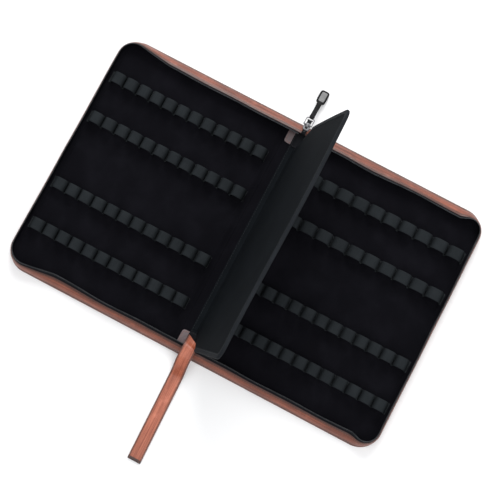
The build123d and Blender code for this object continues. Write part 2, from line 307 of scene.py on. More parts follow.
def gussetPaintedShade(graph):
    # painted shade: dark in the crease over the piping and along the edge that is sewn to the tape, where
    # shade falls
    across = graph.apart(graph.surfacePlace())[1]
    low, high = across.between(1.0 * mm, 2.5 * mm), across.between(8.4 * mm, 11.4 * mm)
    return 1 - low * (1 - high * 0.8)


shellLeather = leather("shellLeather", colour(0.24, 0.078, 0.047), colour(0.08, 0.021, 0.012))
# the rim's leather, with painted shade in its crease over the piping and under the tape
gussetLeather = leather(
    "gussetLeather", colour(0.32, 0.092, 0.050), colour(0.085, 0.019, 0.009), 850.0, 0.5, 0.3, gussetPaintedShade
)
pipingLeather = leather("pipingLeather", colour(0.20, 0.066, 0.041), colour(0.066, 0.017, 0.010), 1000.0)
# the end patches: brown leather given the grey-mauve tone it shows in shade, painted shade
patchLeatherPaintedShade = leather("patchLeatherPaintedShade", colour(0.16, 0.112, 0.116), colour(0.07, 0.047, 0.05), 700.0, 0.1)
liningCloth = nap("liningCloth", colour(0.0062, 0.006, 0.0085), colour(0.0018, 0.0017, 0.0028))
pageCloth = nap(
    "pageCloth", colour(0.0085, 0.0108, 0.013), colour(0.0028, 0.0034, 0.0046), 2200.0, 0.9 * mm, 0.3
)
pageFelt = nap("pageFelt", colour(0.03, 0.03, 0.034), colour(0.012, 0.012, 0.014), 1400.0)
bindingTape = webbing(
    "bindingTape", colour(0.021, 0.024, 0.028), colour(0.006, 0.007, 0.009), 0.8 * mm, 0.7 * mm
)
elasticWebbing = webbing(
    "elasticWebbing", colour(0.023, 0.027, 0.030), colour(0.006, 0.0075, 0.009), 1.1 * mm, 0.8 * mm
)
zipTapeCloth = webbing(
    "zipTapeCloth", colour(0.011, 0.0115, 0.014), colour(0.003, 0.0032, 0.0042), 0.9 * mm, 0.9 * mm, 5.0
)
zipCoil = moulded("zipCoil", colour(0.085, 0.09, 0.095), colour(0.03, 0.033, 0.036), 0.3)
nickel = metal("nickel", colour(0.22, 0.22, 0.23), colour(0.05, 0.05, 0.055))
pullerRubber = moulded("pullerRubber", colour(0.010, 0.010, 0.011), colour(0.003, 0.003, 0.0035), 0.4)
pullerInlay = moulded("pullerInlay", colour(0.27, 0.27, 0.27), colour(0.15, 0.15, 0.15), 0.5, 1200.0, 0.35)
brownThread = twine("brownThread", colour(0.30, 0.12, 0.075), colour(0.12, 0.045, 0.028))
blackThread = twine("blackThread", colour(0.045, 0.047, 0.052), colour(0.015, 0.016, 0.018))
greyBoard = pressed("greyBoard", colour(0.30, 0.27, 0.23), colour(0.20, 0.18, 0.15), 900.0, 0.3)
paddingFoam = pressed("paddingFoam", colour(0.16, 0.16, 0.17), colour(0.09, 0.09, 0.10), 1500.0, 0.6)
print("finishes made")


def smoothRise(low, high, value):
    # 0 below low, 1 above high, and 3t^2 - 2t^3 between them
    t = np.clip((value - low) / (high - low), 0, 1)
    return t * t * (3 - 2 * t)


def runOf(points):
    # distance run along a row of points, starting at 0
    steps = np.linalg.norm(np.diff(points, axis=0), axis=1)
    return np.concatenate(([0.0], np.cumsum(steps)))


def evenly(path, step, count=0):
    # the same line with its points an even distance apart
    run = runOf(path)
    at = np.linspace(0, run[-1], count or max(2, int(round(run[-1] / step)) + 1))
    return np.stack([np.interp(at, run, path[:, k]) for k in range(path.shape[1])], axis=1)


def directions(path):
    # unit vectors along a row of points
    along = np.gradient(path, axis=0)
    return along / np.linalg.norm(along, axis=1, keepdims=True)


def leftOf(line):
    # unit vectors a quarter turn to the left of the way that a flat line runs
    along = directions(line)
    return np.stack([-along[:, 1], along[:, 0]], axis=1)


def pointsAt(x, y, z):
    # points from rows or grids of numbers; a single number is repeated
    return np.stack(np.broadcast_arrays(x, y, z), axis=-1).astype(float)


def roundedPath(corners, radius, step):
    # straight runs joined by arcs that touch both runs; each corner is cut back by radius times
    # the tangent of half its turn, or by just under half of the shorter run
    corners = np.asarray(corners, float)
    made = [corners[:1]]
    for before, here, after in zip(corners[:-2], corners[1:-1], corners[2:]):
        back, on = before - here, after - here
        shorter = min(np.linalg.norm(back), np.linalg.norm(on))
        back, on = back / np.linalg.norm(back), on / np.linalg.norm(on)
        turn = math.pi - math.acos(np.clip(back @ on, -1, 1))
        cut = min(radius * math.tan(turn / 2), 0.49 * shorter)
        middle = (back + on) / np.linalg.norm(back + on)
        centre = here + middle * cut / math.sin(turn / 2)
        first, last = here + back * cut - centre, here + on * cut - centre
        s = np.linspace(0, 1, 9)[:, None]
        made.append(centre + (np.sin((1 - s) * turn) * first + np.sin(s * turn) * last) / math.sin(turn))
    made.append(corners[-1:])
    return evenly(np.concatenate(made), step)


def ribbonOutline(line, thick, tip=5):
    # closed outline of a strip: its middle line moved half the thickness to each side, with half-round ends
    out, reach = leftOf(line) * thick / 2, directions(line) * thick / 2
    turn = np.linspace(0, math.pi, tip)[1:-1, None]
    last = line[-1] + out[-1] * np.cos(turn) + reach[-1] * np.sin(turn)
    first = line[0] - out[0] * np.cos(turn) - reach[0] * np.sin(turn)
    return np.concatenate([line + out, last, (line - out)[::-1], first])


def flatRibbon(width, thick, points=7):
    # outline of a flat strip of webbing or leather, wide across and thin upwards
    line = np.linspace(-(width - thick) / 2, (width - thick) / 2, points)
    return ribbonOutline(np.stack([line, np.zeros(points)], axis=1), thick)


def circleOutline(radius, points=16):
    turn = np.linspace(0, 2 * math.pi, points, endpoint=False)
    return radius * np.stack([np.cos(turn), np.sin(turn)], axis=1)


def roundedRectangle(width, length, power=6.0, points=48):
    # superellipse: |x / a|^n + |y / b|^n = 1
    turn = np.linspace(0, 2 * math.pi, points, endpoint=False)
    c, s = np.cos(turn), np.sin(turn)
    x = np.sign(c) * np.abs(c) ** (2 / power) * width / 2
    y = np.sign(s) * np.abs(s) ** (2 / power) * length / 2
    return np.stack([x, y], axis=1)


def sweep(path, across, up, outline):
    # every outline point carried to every path point: across by its first number, up by its second
    outline = np.broadcast_to(outline, (len(path),) + np.shape(outline)[-2:])
    across = np.broadcast_to(across, path.shape)[:, None]
    up = np.broadcast_to(up, path.shape)[:, None]
    return path[:, None] + across * outline[..., :1] + up * outline[..., 1:]


def sweepUpright(line, outline):
    # an outline carried along (y, z) points in the upright plane over the middle of the spine
    path = pointsAt(0, line[:, 0], line[:, 1])
    return sweep(path, rightwards, np.cross(rightwards, directions(path)), outline)


def gridFaces(grid, wrapped, looped, first, section=None):
    # four corners for each cell of the grid, with its place on the surface in metres
    rows, columns = grid.shape[:2]
    tall = rows if looped else rows - 1
    wide = columns if wrapped else columns - 1
    r, c = [k.ravel() for k in np.meshgrid(np.arange(tall), np.arange(wide), indexing="ij")]
    s, d = (r + 1) % rows, (c + 1) % columns
    corners = np.stack([r * columns + c, s * columns + c, s * columns + d, r * columns + d], axis=1)
    middle = grid.mean(axis=1)
    along = runOf(np.concatenate([middle, middle[:1]])) * mm
    ring = grid[rows // 2] if section is None else section
    across = runOf(np.concatenate([ring, ring[:1]])) * mm
    u = np.stack([along[r], along[r + 1], along[r + 1], along[r]], axis=1)
    v = np.stack([across[c], across[c], across[c + 1], across[c + 1]], axis=1)
    faces = [list(f) for f in (corners + first)]
    places = list(np.stack([u, v], axis=2).reshape(-1, 2))
    if wrapped and not looped:
        for row in (0, rows - 1):
            faces.append(list(first + row * columns + np.arange(columns)))
            flat = grid[row] - grid[row].mean(axis=0)
            places += list(np.stack([flat[:, 0] + flat[:, 1], flat[:, 2]], axis=1) * mm)
    return faces, places


def meshPiece(name, points, faces, places, finish, outwards):
    mesh = bpy.data.meshes.new(name)
    mesh.from_pydata((points * mm).tolist(), [], faces)
    layer = mesh.uv_layers.new(name="surface")
    layer.data.foreach_set("uv", np.asarray(places, np.float32).ravel())
    if outwards:
        work = bmesh.new()
        work.from_mesh(mesh)
        bmesh.ops.recalc_face_normals(work, faces=work.faces)
        work.to_mesh(mesh)
        work.free()
    mesh.shade_smooth()
    mesh.set_sharp_from_angle(angle=math.radians(48))
    mesh.materials.append(finish)
    piece = bpy.data.objects.new(name, mesh)
    scene.collection.objects.link(piece)
    return piece


def gridPiece(name, grids, finish, wrapped=False, looped=False, thick=0.0, section=None):
    # one piece from one grid of points or several; thick turns open grids into a closed shell, and
    # section is an outline whose lengths set where the finish's edges fall across the piece
    grids = grids if isinstance(grids, list) else [grids]
    faces, places, first = [], [], 0
    for grid in grids:
        newFaces, newPlaces = gridFaces(grid, wrapped, looped, first, section)
        faces += newFaces
        places += newPlaces
        first += grid.shape[0] * grid.shape[1]
    points = np.concatenate([grid.reshape(-1, 3) for grid in grids])
    piece = meshPiece(name, points, faces, places, finish, wrapped)
    if thick:
        shell = piece.modifiers.new("shell", "SOLIDIFY")
        shell.thickness, shell.offset, shell.use_even_offset = thick * mm, 0.0, True
    return piece


def beadShape(sides=6, rings=4):
    # a ball of a few faces: rings of points between two poles, all of it triangles
    tilt = np.linspace(0, math.pi, rings + 1)[1:-1, None]
    turn = np.linspace(0, 2 * math.pi, sides, endpoint=False)[None]
    ring = pointsAt(np.sin(tilt) * np.cos(turn), np.sin(tilt) * np.sin(turn), np.cos(tilt))
    points = np.concatenate([[[0, 0, 1.0]], ring.reshape(-1, 3), [[0, 0, -1.0]]])
    c = np.arange(sides)
    d = (c + 1) % sides
    top = np.stack([0 * c, 1 + c, 1 + d], axis=1)
    low = 1 + (rings - 2) * sides
    bottom = np.stack([low + c, 0 * c + low + sides, low + d], axis=1)
    faces = [top, bottom]
    for k in range(rings - 2):
        a, b = 1 + k * sides, 1 + (k + 1) * sides
        faces += [np.stack([a + c, b + c, b + d], axis=1), np.stack([a + c, b + d, a + d], axis=1)]
    return points, np.concatenate(faces)


beadPoints, beadFaces = beadShape()


def beadPiece(name, rows, finish):
    # one bead at each point of each row, its length along the row; a row is (points, up, bead sizes)
    points, faces, first = [], [], 0
    for centres, up, (length, width, height) in rows:
        along = directions(centres)
        up = np.broadcast_to(up, centres.shape)
        sideways = np.cross(up, along)
        sideways = sideways / np.linalg.norm(sideways, axis=1, keepdims=True)
        over = np.cross(along, sideways)
        axes = np.stack([along * length / 2, sideways * width / 2, over * height / 2], axis=1)
        placed = centres[:, None] + np.einsum("pk,nkc->npc", beadPoints, axes)
        points.append(placed.reshape(-1, 3))
        steps = first + np.arange(len(centres)) * len(beadPoints)
        faces.append((beadFaces[None] + steps[:, None, None]).reshape(-1, 3))
        first += len(centres) * len(beadPoints)
    points, faces = np.concatenate(points), np.concatenate(faces)
    places = points[faces.ravel()][:, :2] * mm
    return meshPiece(name, points, faces.tolist(), places, finish, True)


def settle(piece, body, slot, *nodes):
    # the piece rides on its body and stands for those CAD nodes
    if nodes:
        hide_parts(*nodes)
    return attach(piece, body)


def bendAcross(piece, bodies, start, end, slot, *nodes):
    # hides those CAD nodes and bakes the piece's place into its mesh; the piece is not bent from the first
    # body to the second between the two points, given in millimetres
    if nodes:
        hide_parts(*nodes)
    start, end = [tuple(k * mm for k in point) for point in (start, end)]
    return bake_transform(piece)


def edgeDistance(x, y):
    # how far a plan point lies inside the case's edge, whose free corners are round
    radius = case["cornerRadius"]
    pastX, pastY = np.abs(x) - (edgeX - radius), np.abs(y) - (edgeY - radius)
    corner = np.hypot(np.maximum(pastX, 0), np.maximum(pastY, 0))
    return radius - corner - np.minimum(np.maximum(pastX, pastY), 0)


def panelGrid(side, start, inset, step):
    # rows from the fold to the free edge; in a corner's arc a row ends at cx + sqrt(r^2 - (|y| - cy)^2)
    radius = case["cornerRadius"] - inset
    straight = edgeY - case["cornerRadius"]
    arc = radius * np.sin(np.linspace(0, math.pi / 2, 13))
    plain = np.linspace(-straight, straight, int(2 * straight / step))[1:-1]
    y = np.concatenate([-(straight + arc[::-1]), plain, straight + arc])
    past = np.clip(np.abs(y) - straight, 0, radius)
    ends = edgeX - case["cornerRadius"] + np.sqrt(np.maximum(radius ** 2 - past ** 2, 0))
    t = np.linspace(0, 1, int((edgeX - start) / step))
    x = start + (ends[:, None] - start) * t
    return side * x, np.broadcast_to(y[:, None], x.shape)


def rimRoute(side, start, step):
    # the edge of one cover in plan: along one end, a quarter circle, up the free side, and back
    radius = case["cornerRadius"]
    cx, cy = edgeX - radius, edgeY - radius
    turn = np.radians(np.linspace(-90, 0, 19))
    corner = np.stack([np.cos(turn), np.sin(turn)], axis=1)
    lower = np.array([cx, -cy]) + radius * corner
    upper = np.array([cx, cy]) + radius * np.stack([corner[:, 0], corner[:, 1]], axis=1)[::-1] * [1, -1]
    line = np.concatenate([[[start, -edgeY]], lower, upper, [[start, edgeY]]])
    line = evenly(line, step)
    run = runOf(line)
    centre = np.stack([np.minimum(line[:, 0], cx), np.clip(line[:, 1], -cy, cy)], axis=1)
    inward = centre - line
    inward = inward / np.linalg.norm(inward, axis=1, keepdims=True)
    flip = np.array([side, 1.0])
    return flatTo3(line * flip), flatTo3(inward * flip), run


def flatTo3(plan):
    return pointsAt(plan[:, 0], plan[:, 1], 0)


def endRoute(end, start, finish, step):
    # a straight run along one end of the case
    count = max(2, int(abs(finish - start) / step) + 1)
    x = np.linspace(start, finish, count)
    path = pointsAt(x, end * edgeY, 0)
    return path, np.broadcast_to(-end * farwards, path.shape), np.abs(x - start)


def bothEnds(start, finish, step):
    return [endRoute(end, start, finish, step) for end in (-1, 1)]


rim = {  # (inset from the edge, height) along the sides, the near end and the far end
    "foot": (1.75, 3.55),
    "seam": {"side": (2.9, 15.4), "near": (9.9, 12.0), "far": (12.4, 11.4)},  # leather meets tape
    "coil": {"side": (4.4, 20.7), "near": (13.4, 18.0), "far": (16.2, 17.0)},
    "sway": 0.9,
    "swayLengths": (17.0, 29.0, 21.0),  # two along the ends, one along the sides
    "swayStart": (34.0, 80.0),  # from the middle of the spine, where the ends' waves grow
    "leanPower": 1.05,
    "leaning": {"left": 66.0, "right": 34.0},  # from the free side, where the lean is full
}
rimPlaces = tuple(rim["seam"])


def leanOf(path, inward):
    # 1 - (1 - t)^n, where t grows evenly from the free side to where the lean is full
    full = np.where(path[:, 0] < 0, rim["leaning"]["left"], rim["leaning"]["right"])
    t = np.clip((edgeX - np.abs(path[:, 0])) / full, 0, 1)
    return np.abs(inward[:, 1]) * (1 - (1 - t) ** rim["leanPower"])


def leaned(route, made):
    # the rim stands up along the sides and leans in along the ends: the side's section and an end's
    # section are mixed by how squarely each point faces the end and how far it is from the corner
    path, inward, _ = route
    share = leanOf(path, inward).reshape((-1,) + (1,) * np.ndim(made["side"]))
    far = (path[:, 1] > 0).reshape(share.shape)
    return made["side"] * (1 - share) + np.where(far, made["far"], made["near"]) * share


def rimPoints(key):
    return {place: np.array(rim[key][place]) for place in rimPlaces}


def swayOf(route):
    # slow waves in the rim, fuller along the ends, and none at the folds
    path, inward, _ = route
    out, ends = np.abs(path[:, 0]), leanOf(path, inward)
    turn = 1.3 * np.sign(path[:, 0]) + np.sign(path[:, 1])
    short, long, slow = rim["swayLengths"]
    wave = 0.5 * np.sin(out / short + turn) + 0.5 * np.sin(out / long + 2 * turn)
    side = 0.25 * np.sin(path[:, 1] / slow + turn)
    return rim["sway"] * (ends * wave * smoothRise(*rim["swayStart"], out) + (1 - ends) * side)


def stripAlong(route, made):
    # a strip of the rim carried along the route, swaying more the higher it stands
    path, inward, _ = route
    outline = leaned(route, made)
    foot, seam = rim["foot"][1], leaned(route, rimPoints("seam"))[:, None, 1]
    share = np.clip((outline[..., 1] - foot) / (seam - foot), 0, 1.6)
    outline[..., 0] += swayOf(route)[:, None] * share
    return sweep(path, inward, upright, outline)


def rowAlong(route, made, share):
    # one line of points along the rim, in the given place of each section
    path, inward, _ = route
    at = leaned(route, made)
    at[:, 0] += swayOf(route) * share
    return path + inward * at[:, :1] + upright * at[:, 1:]


gusset = {
    "bulge": 1.1,
    "thick": 1.1,
    "step": 3.0,
    "stitchShare": (0.11, 0.88),
    "stitchPitch": 3.4,
    "stitchStart": 7.0,  # from the fold, so that the rows clear the spine when the cover is shut
    "stitch": (2.3, 0.55, 0.4),
    "stitchLift": 0.02,
}


def gussetFrame(place):
    # the leather strip's foot, its run up to the seam, and the direction out of its face
    foot, seam = np.array(rim["foot"]), np.array(rim["seam"][place])
    run = seam - foot
    return foot, run, np.array([-run[1], run[0]]) / np.hypot(*run)


def gussetLine(place, share):
    # the strip's middle line: straight from foot to seam, bowed outwards by a half sine
    foot, run, out = gussetFrame(place)
    share = np.asarray(share, float)[..., None]
    return foot + run * share + out * gusset["bulge"] * np.sin(math.pi * share)


def gussetStitch(share):
    above = gusset["thick"] / 2 + gusset["stitchLift"]
    return {place: gussetLine(place, share) + gussetFrame(place)[2] * above for place in rimPlaces}


def outOfRim(route):
    # out of the face of the leaning rim
    return -route[1] * 0.8 + upright * 0.6


gussetOutlines = {
    place: ribbonOutline(gussetLine(place, np.linspace(0, 1, 11)), gusset["thick"]) for place in rimPlaces
}
piping = {
    "flat": 0.92,  # height over width of the rolled leather
    "middle": 0.96,  # its middle's height over its radius
    "slack": 0.06,  # how far it stays inside its solid
    "cordTurn": 3.3,
    "cordMark": 0.05,  # how far the cord's twist shows through
    "step": 1.6,
}


def pipingStrip(route):
    # a circle whose radius ripples a little along the run, as the cord inside shows through
    path, inward, run = route
    circle = circleOutline(1.0, 14) * [1.0, piping["flat"]] * (pipingRadius - piping["slack"])
    ripple = 1 + piping["cordMark"] * np.sin(2 * math.pi * run / piping["cordTurn"])[:, None, None]
    centre = np.array([pipingRadius, pipingRadius * piping["middle"]])
    return sweep(path, inward, upright, centre + circle[None] * ripple / (1 + piping["cordMark"]))


facing = {
    "foot": {"side": 8.8, "near": 11.0, "far": 12.6},
    "corner": {"side": 3.95, "near": 6.4, "far": 7.9},
    "top": (0.97, 0.85),  # share of the leather's run, and how far behind it
    "bend": 1.6,
    "thick": 0.5,
    "lift": 0.16,
    "points": 15,
}


def facingOutlines(floor):
    # cloth strip that turns up from the floor and covers the back of the gusset
    made = {}
    level = floor + facing["lift"]
    share, behind = facing["top"]
    for place in rimPlaces:
        foot, run, out = gussetFrame(place)
        top = foot + run * share - out * behind
        corners = [(facing["foot"][place], level), (facing["corner"][place], level), top]
        line = evenly(roundedPath(corners, facing["bend"], 0.5), 0, facing["points"])
        made[place] = ribbonOutline(line, facing["thick"])
    return made


tape = {
    "tuck": (1.1, 0.7),  # how far below the leather's edge it starts, and how far behind
    "turn": (0.3, 0.35),  # where it comes out, past that edge and behind it
    "below": (0.3, 0.4),  # of its top edge to the coil's middle
    "bend": 3.0,
    "stitchShare": 0.72,
    "stitchLift": 0.12,
    "stitchSway": 1.3,
    "thick": 0.55,
    "step": 2.5,
    "points": 9,
    "stitch": (2.0, 0.4, 0.3),
    "pitch": 3.0,
}
coil = {"pitch": 1.25, "bead": (1.02, 1.45, 1.3), "sway": 1.5}


def tapeOutlines():
    # from just behind the leather's top edge up to the coil
    made = {}
    for place in rimPlaces:
        foot, run, out = gussetFrame(place)
        seam, top = foot + run, np.array(rim["coil"][place])
        run = run / np.hypot(*run)
        corners = [
            seam - run * tape["tuck"][0] - out * tape["tuck"][1],
            seam + run * tape["turn"][0] - out * tape["turn"][1],
            top - tape["below"],
        ]
        line = evenly(roundedPath(corners, tape["bend"], 0.5), 0, tape["points"])
        made[place] = ribbonOutline(line, tape["thick"])
    return made


tapeSections = tapeOutlines()


def tapeStitch():
    # a place between the seam and the coil, just above the tape's outer face
    made = {}
    for place in rimPlaces:
        seam, top = np.array(rim["seam"][place]), np.array(rim["coil"][place])
        run = top - seam
        out = np.array([-run[1], run[0]]) / np.hypot(*run)
        made[place] = seam + run * tape["stitchShare"] + out * tape["stitchLift"]
    return made


def coilRow(route):
    return rowAlong(route, rimPoints("coil"), coil["sway"]), upright, coil["bead"]


def rimStrip(name, routes, outlines, finish):
    # one strip of the rim along each route, as one piece
    strips = [stripAlong(route, outlines) for route in routes]
    section = gussetOutlines["side"] if outlines is gussetOutlines else None
    return gridPiece(name, strips, finish, wrapped=True, section=section)


coverSkin = {
    "inset": 2.3,
    "rise": 0.7,
    "riseWidth": 10.0,
    "step": 5.0,
    "stitchInset": 7.0,
    "stitchLevel": 0.16,
}
coverLining = {
    "inset": 4.7,
    "endInset": 7.4,
    "thick": 0.55,
    "step": 2.4,
    "ripple": 0.1,
    "rippleLengths": (9.0, 13.0),
    "dimple": 0.5,  # where the bands are sewn down
    "dimpleWidth": 3.0,
}
band = {
    "thick": 0.95,
    "roundness": 3.0,  # of the arches: 2 is an ellipse, more is squarer
    "narrowing": 0.05,
    "droop": 0.55,
    "lean": 0.5,
    "gap": 1.2,
    "tail": 3.4,
    "foldTail": 0.9,  # shorter, so that the band clears the spine when the cover is shut
    "counts": {"slim": 12, "wide": 10},
    "tack": (1.75, 0.55, 0.4),
    "tackCount": 7,
    "tackMargin": 1.2,
    "tackLift": 0.08,
}


def bandPlan(node, count):
    # the loops' centres and width, from the CAD band's length and the gap between two loops
    low, high = boxOf(node)
    width = (high[0] - low[0] - (count - 1) * band["gap"]) / count
    centres = low[0] + width / 2 + (width + band["gap"]) * np.arange(count)
    return centres, width, (low[1] + high[1]) / 2, high[1] - low[1], low[2], high[2]


def bandMiddle(centres, width, floor, top, tails):
    # one arch per loop, a superellipse with its own droop and lean, and a flat sewn strip between two
    half = (width - band["thick"]) / 2
    rise = top - floor - band["thick"]
    turn = np.linspace(math.pi, 0, 33)
    power = 2 / band["roundness"]
    base = floor + band["thick"] / 2
    made = [[[centres[0] - half - tails[0], base]]]
    for centre in centres:
        droop, lean = dice.uniform(0, band["droop"]), dice.uniform(-band["lean"], band["lean"])
        up = np.sin(turn).clip(0) ** power
        x = centre + np.sign(np.cos(turn)) * np.abs(np.cos(turn)) ** power * half + lean * up
        made.append(np.stack([x, base + up * (rise - droop)], axis=1))
    made.append([[centres[-1] + half + tails[1], base]])
    return np.concatenate(made)


def makeBand(hand, row, place, count):
    body, node = f"{hand}_cover", f"{hand}_{row}_{place}_loops"
    centres, width, middleY, wide, floor, top = bandPlan(node, count)
    tails = np.array([band["foldTail"], band["tail"]])[:: case["hands"][hand]]
    line = bandMiddle(centres, width, floor, top, tails)
    path = pointsAt(line[:, 0], middleY, line[:, 1])
    outline = flatRibbon(wide, band["thick"])
    share = (line[:, 1] - floor) / (top - floor)
    narrowed = np.broadcast_to(outline, (len(line),) + outline.shape).copy()
    narrowed[..., 0] *= (1 - band["narrowing"] * share)[:, None]
    grid = sweep(path, farwards, np.cross(directions(path), farwards), narrowed)
    title = f"{hand}{row.title()}{place.title()}Loops"
    settle(gridPiece(title, grid, elasticWebbing, wrapped=True), body, "elastic_webbing", node)
    valleys = (centres[:-1] + centres[1:]) / 2
    reach = width / 2 + tails / 2
    tacks = np.concatenate([[centres[0] - reach[0]], valleys, [centres[-1] + reach[1]]])
    half = wide / 2 - band["tackMargin"]
    y = np.linspace(middleY - half, middleY + half, band["tackCount"])
    level = floor + band["thick"] + band["tackLift"]
    rows = [(pointsAt(x, y, level), upright, band["tack"]) for x in tacks]
    settle(beadPiece(f"{title}Tacks", rows, blackThread), body, "elastic_webbing")
    return [(x, middleY, wide / 2) for x in tacks]


def skinLevel(away):
    # the middle of the outer skin, which rises a little towards the edge
    rise = 1 - smoothRise(coverSkin["inset"], coverSkin["riseWidth"], away)
    return skinThick / 2 + coverSkin["rise"] * rise


def coverRim(hand, side, body):
    strip = pipingStrip(rimRoute(side, coverStart, piping["step"]))
    piece = gridPiece(f"{hand}CoverPiping", strip, pipingLeather, wrapped=True)
    settle(piece, body, "piping_leather", f"{hand}_cover_piping")
    route = rimRoute(side, coverStart, gusset["step"])
    piece = rimStrip(f"{hand}CoverGusset", [route], gussetOutlines, gussetLeather)
    settle(piece, body, "shell_leather", f"{hand}_cover_gusset")
    piece = rimStrip(f"{hand}GussetFacing", [route], facingOutlines(inside), liningCloth)
    settle(piece, body, "lining_fabric", f"{hand}_gusset_lining")

    route = rimRoute(side, coverStart + gusset["stitchStart"], gusset["stitchPitch"])
    rows = [
        (rowAlong(route, gussetStitch(share), share), outOfRim(route), gusset["stitch"])
        for share in gusset["stitchShare"]
    ]
    under = route[0] + route[1] * coverSkin["stitchInset"] + upright * coverSkin["stitchLevel"]
    rows.append((under, -upright, gusset["stitch"]))
    settle(beadPiece(f"{hand}CoverStitches", rows, brownThread), body, "shell_leather")

    route = rimRoute(side, zipStart, tape["step"])
    piece = rimStrip(f"{hand}ZipTape", [route], tapeSections, zipTapeCloth)
    settle(piece, body, "zip_tape", f"{hand}_zip_tape")
    route = rimRoute(side, zipStart, tape["pitch"])
    rows = [(rowAlong(route, tapeStitch(), tape["stitchSway"]), outOfRim(route), tape["stitch"])]
    settle(beadPiece(f"{hand}TapeStitches", rows, blackThread), body, "zip_tape")
    rows = [coilRow(rimRoute(side, zipStart, coil["pitch"]))]
    settle(beadPiece(f"{hand}ZipCoil", rows, zipCoil), body, "zip_coil", f"{hand}_zip_teeth")


def makeCover(hand, side):
    body = f"{hand}_cover"
    x, y = panelGrid(side, coverStart, coverSkin["inset"], coverSkin["step"])
    grid = pointsAt(x, y, skinLevel(edgeDistance(x, y)))
    piece = gridPiece(f"{hand}CoverSkin", grid, shellLeather, thick=skinShell)
    settle(piece, body, "shell_leather", f"{hand}_cover_leather")
    coverRim(hand, side, body)

    dimples = []
    for row, slim in (("upper", side < 0), ("lower", True)):
        count = band["counts"]["slim" if slim else "wide"]
        for place in ("near", "far"):
            dimples += makeBand(hand, row, place, count)

    panel = coverLining
    x, y = panelGrid(side, coverStart, panel["inset"], panel["step"])
    y = y * (edgeY - panel["endInset"]) / (edgeY - panel["inset"])
    # a ripple of two crossed sines, never above the lining's own level
    long, wide = panel["rippleLengths"]
    wave = (np.sin(x / long + 1.3 * side) * np.sin(y / wide) - 1) * 0.5
    z = inside - panel["thick"] / 2 + panel["ripple"] * wave
    for tackX, tackY, reach in dimples:
        beside = np.exp(-(((x - tackX) / panel["dimpleWidth"]) ** 2))
        z = z - panel["dimple"] * beside * (1 - smoothRise(reach - 1, reach + 3, np.abs(y - tackY)))
    grid = pointsAt(x, y, z)
    piece = gridPiece(f"{hand}CoverLining", grid, liningCloth, thick=panel["thick"])
    settle(piece, body, "lining_fabric", f"{hand}_cover_lining")
    flat = ((edgeX - panel["inset"] - coverStart) * mm, 2 * (edgeY - panel["endInset"]) * mm)


fold = {
    "crease": 0.35,
    "liningStart": 19.4,
    "liningEnd": 29.4,
    "liningThick": 0.5,
    "lift": 0.12,
    "slack": 0.2,  # the lining's width over its straight span
    "rowStep": 8.0,
    "pipingStep": 0.6,
    "rimStep": 1.2,
    "tailStep": 1.5,
    "held": 3.0,  # how far past the tabs the rim stays with the spine
}


def makeFold(hand, side):
    bodies = ("spine", f"{hand}_cover")
    near, far = (side * spineHalf, 0, 0), (side * coverStart, 0, 0)
    length = edgeY - coverSkin["inset"]
    rows = len(np.arange(-length, length + 0.1, fold["rowStep"]))
    x, y = np.meshgrid(np.linspace(spineHalf, coverStart, 10), np.linspace(-length, length, rows))
    share = (x - spineHalf) / (coverStart - spineHalf)
    z = skinLevel(edgeY - np.abs(y)) + fold["crease"] * np.sin(math.pi * share)
    grid = pointsAt(side * x, y, z)
    piece = gridPiece(f"{hand}FoldSkin", grid, shellLeather, thick=skinShell)
    bendAcross(piece, bodies, near, far, "shell_leather", f"{hand}_fold_leather")

    routes = bothEnds(side * spineHalf, side * coverStart, fold["pipingStep"])
    strips = [pipingStrip(route) for route in routes]
    piece = gridPiece(f"{hand}FoldPiping", strips, pipingLeather, wrapped=True)
    bendAcross(piece, bodies, near, far, "piping_leather")

    inner = (side * (tabHalf + fold["held"]), 0, 0)
    routes = bothEnds(side * tabHalf, side * coverStart, fold["rimStep"])
    piece = rimStrip(f"{hand}FoldGusset", routes, gussetOutlines, gussetLeather)
    bendAcross(piece, bodies, inner, far, "shell_leather")
    piece = rimStrip(f"{hand}FoldFacing", routes, facingOutlines(spineInside), liningCloth)
    bendAcross(piece, bodies, inner, far, "lining_fabric")

    length = edgeY - coverLining["endInset"]
    start, end = fold["liningStart"], fold["liningEnd"]
    x, y = np.meshgrid(np.linspace(start, end, 15), np.linspace(-1, 1, 60) * length)
    low, high = [level - 0.25 + fold["lift"] for level in (spineInside, inside)]
    z = low + (high - low) * smoothRise(spineHalf - 1, coverStart + 0.6, x) + 0.06 * np.sin(y / 7.0)
    grid = pointsAt(side * x, y, z)
    piece = gridPiece(f"{hand}FoldLining", grid, liningCloth, thick=fold["liningThick"])
    bendAcross(piece, bodies, near, far, "lining_fabric", f"{hand}_fold_lining")
    flat = ((end - start + fold["slack"]) * mm, 2 * length * mm)

    start, finish = side * tailStart, side * zipStart
    inner, outer = (start, 0, 0), (finish, 0, 0)
    routes = bothEnds(start, finish, fold["tailStep"])
    piece = rimStrip(f"{hand}ZipTails", routes, tapeSections, zipTapeCloth)
    bendAcross(piece, bodies, inner, outer, "zip_tape", f"{hand}_zip_tails")
    rows = [coilRow(route) for route in bothEnds(start + side * 0.4, finish, coil["pitch"])]
    bendAcross(beadPiece(f"{hand}TailCoil", rows, zipCoil), bodies, inner, outer, "zip_coil")


spine = {
    "rimStep": 1.5,
    "liningThick": 0.7,
    "rib": 0.12,
    "ribLengths": (2.6, 11.0),
    "stitchPitch": 3.4,
    "stitchAt": 7.6,  # the hinge tape's two seams
    "tapeThick": 0.45,
}
zipEnds = {  # tape ends folded in over the patches and sewn down
    "half": 8.6,
    "shift": -0.4,
    "reach": 151.0,
    "tuck": 1.6,
    "thick": 0.75,
    "edge": 0.2,
    "power": 12.0,
    "stitchInset": 1.3,
    "stitchPoints": 160,
}
patch = {"edge": 0.35, "power": 9.0, "stitchInset": 1.7, "stitchPoints": 200, "pitch": 2.8}


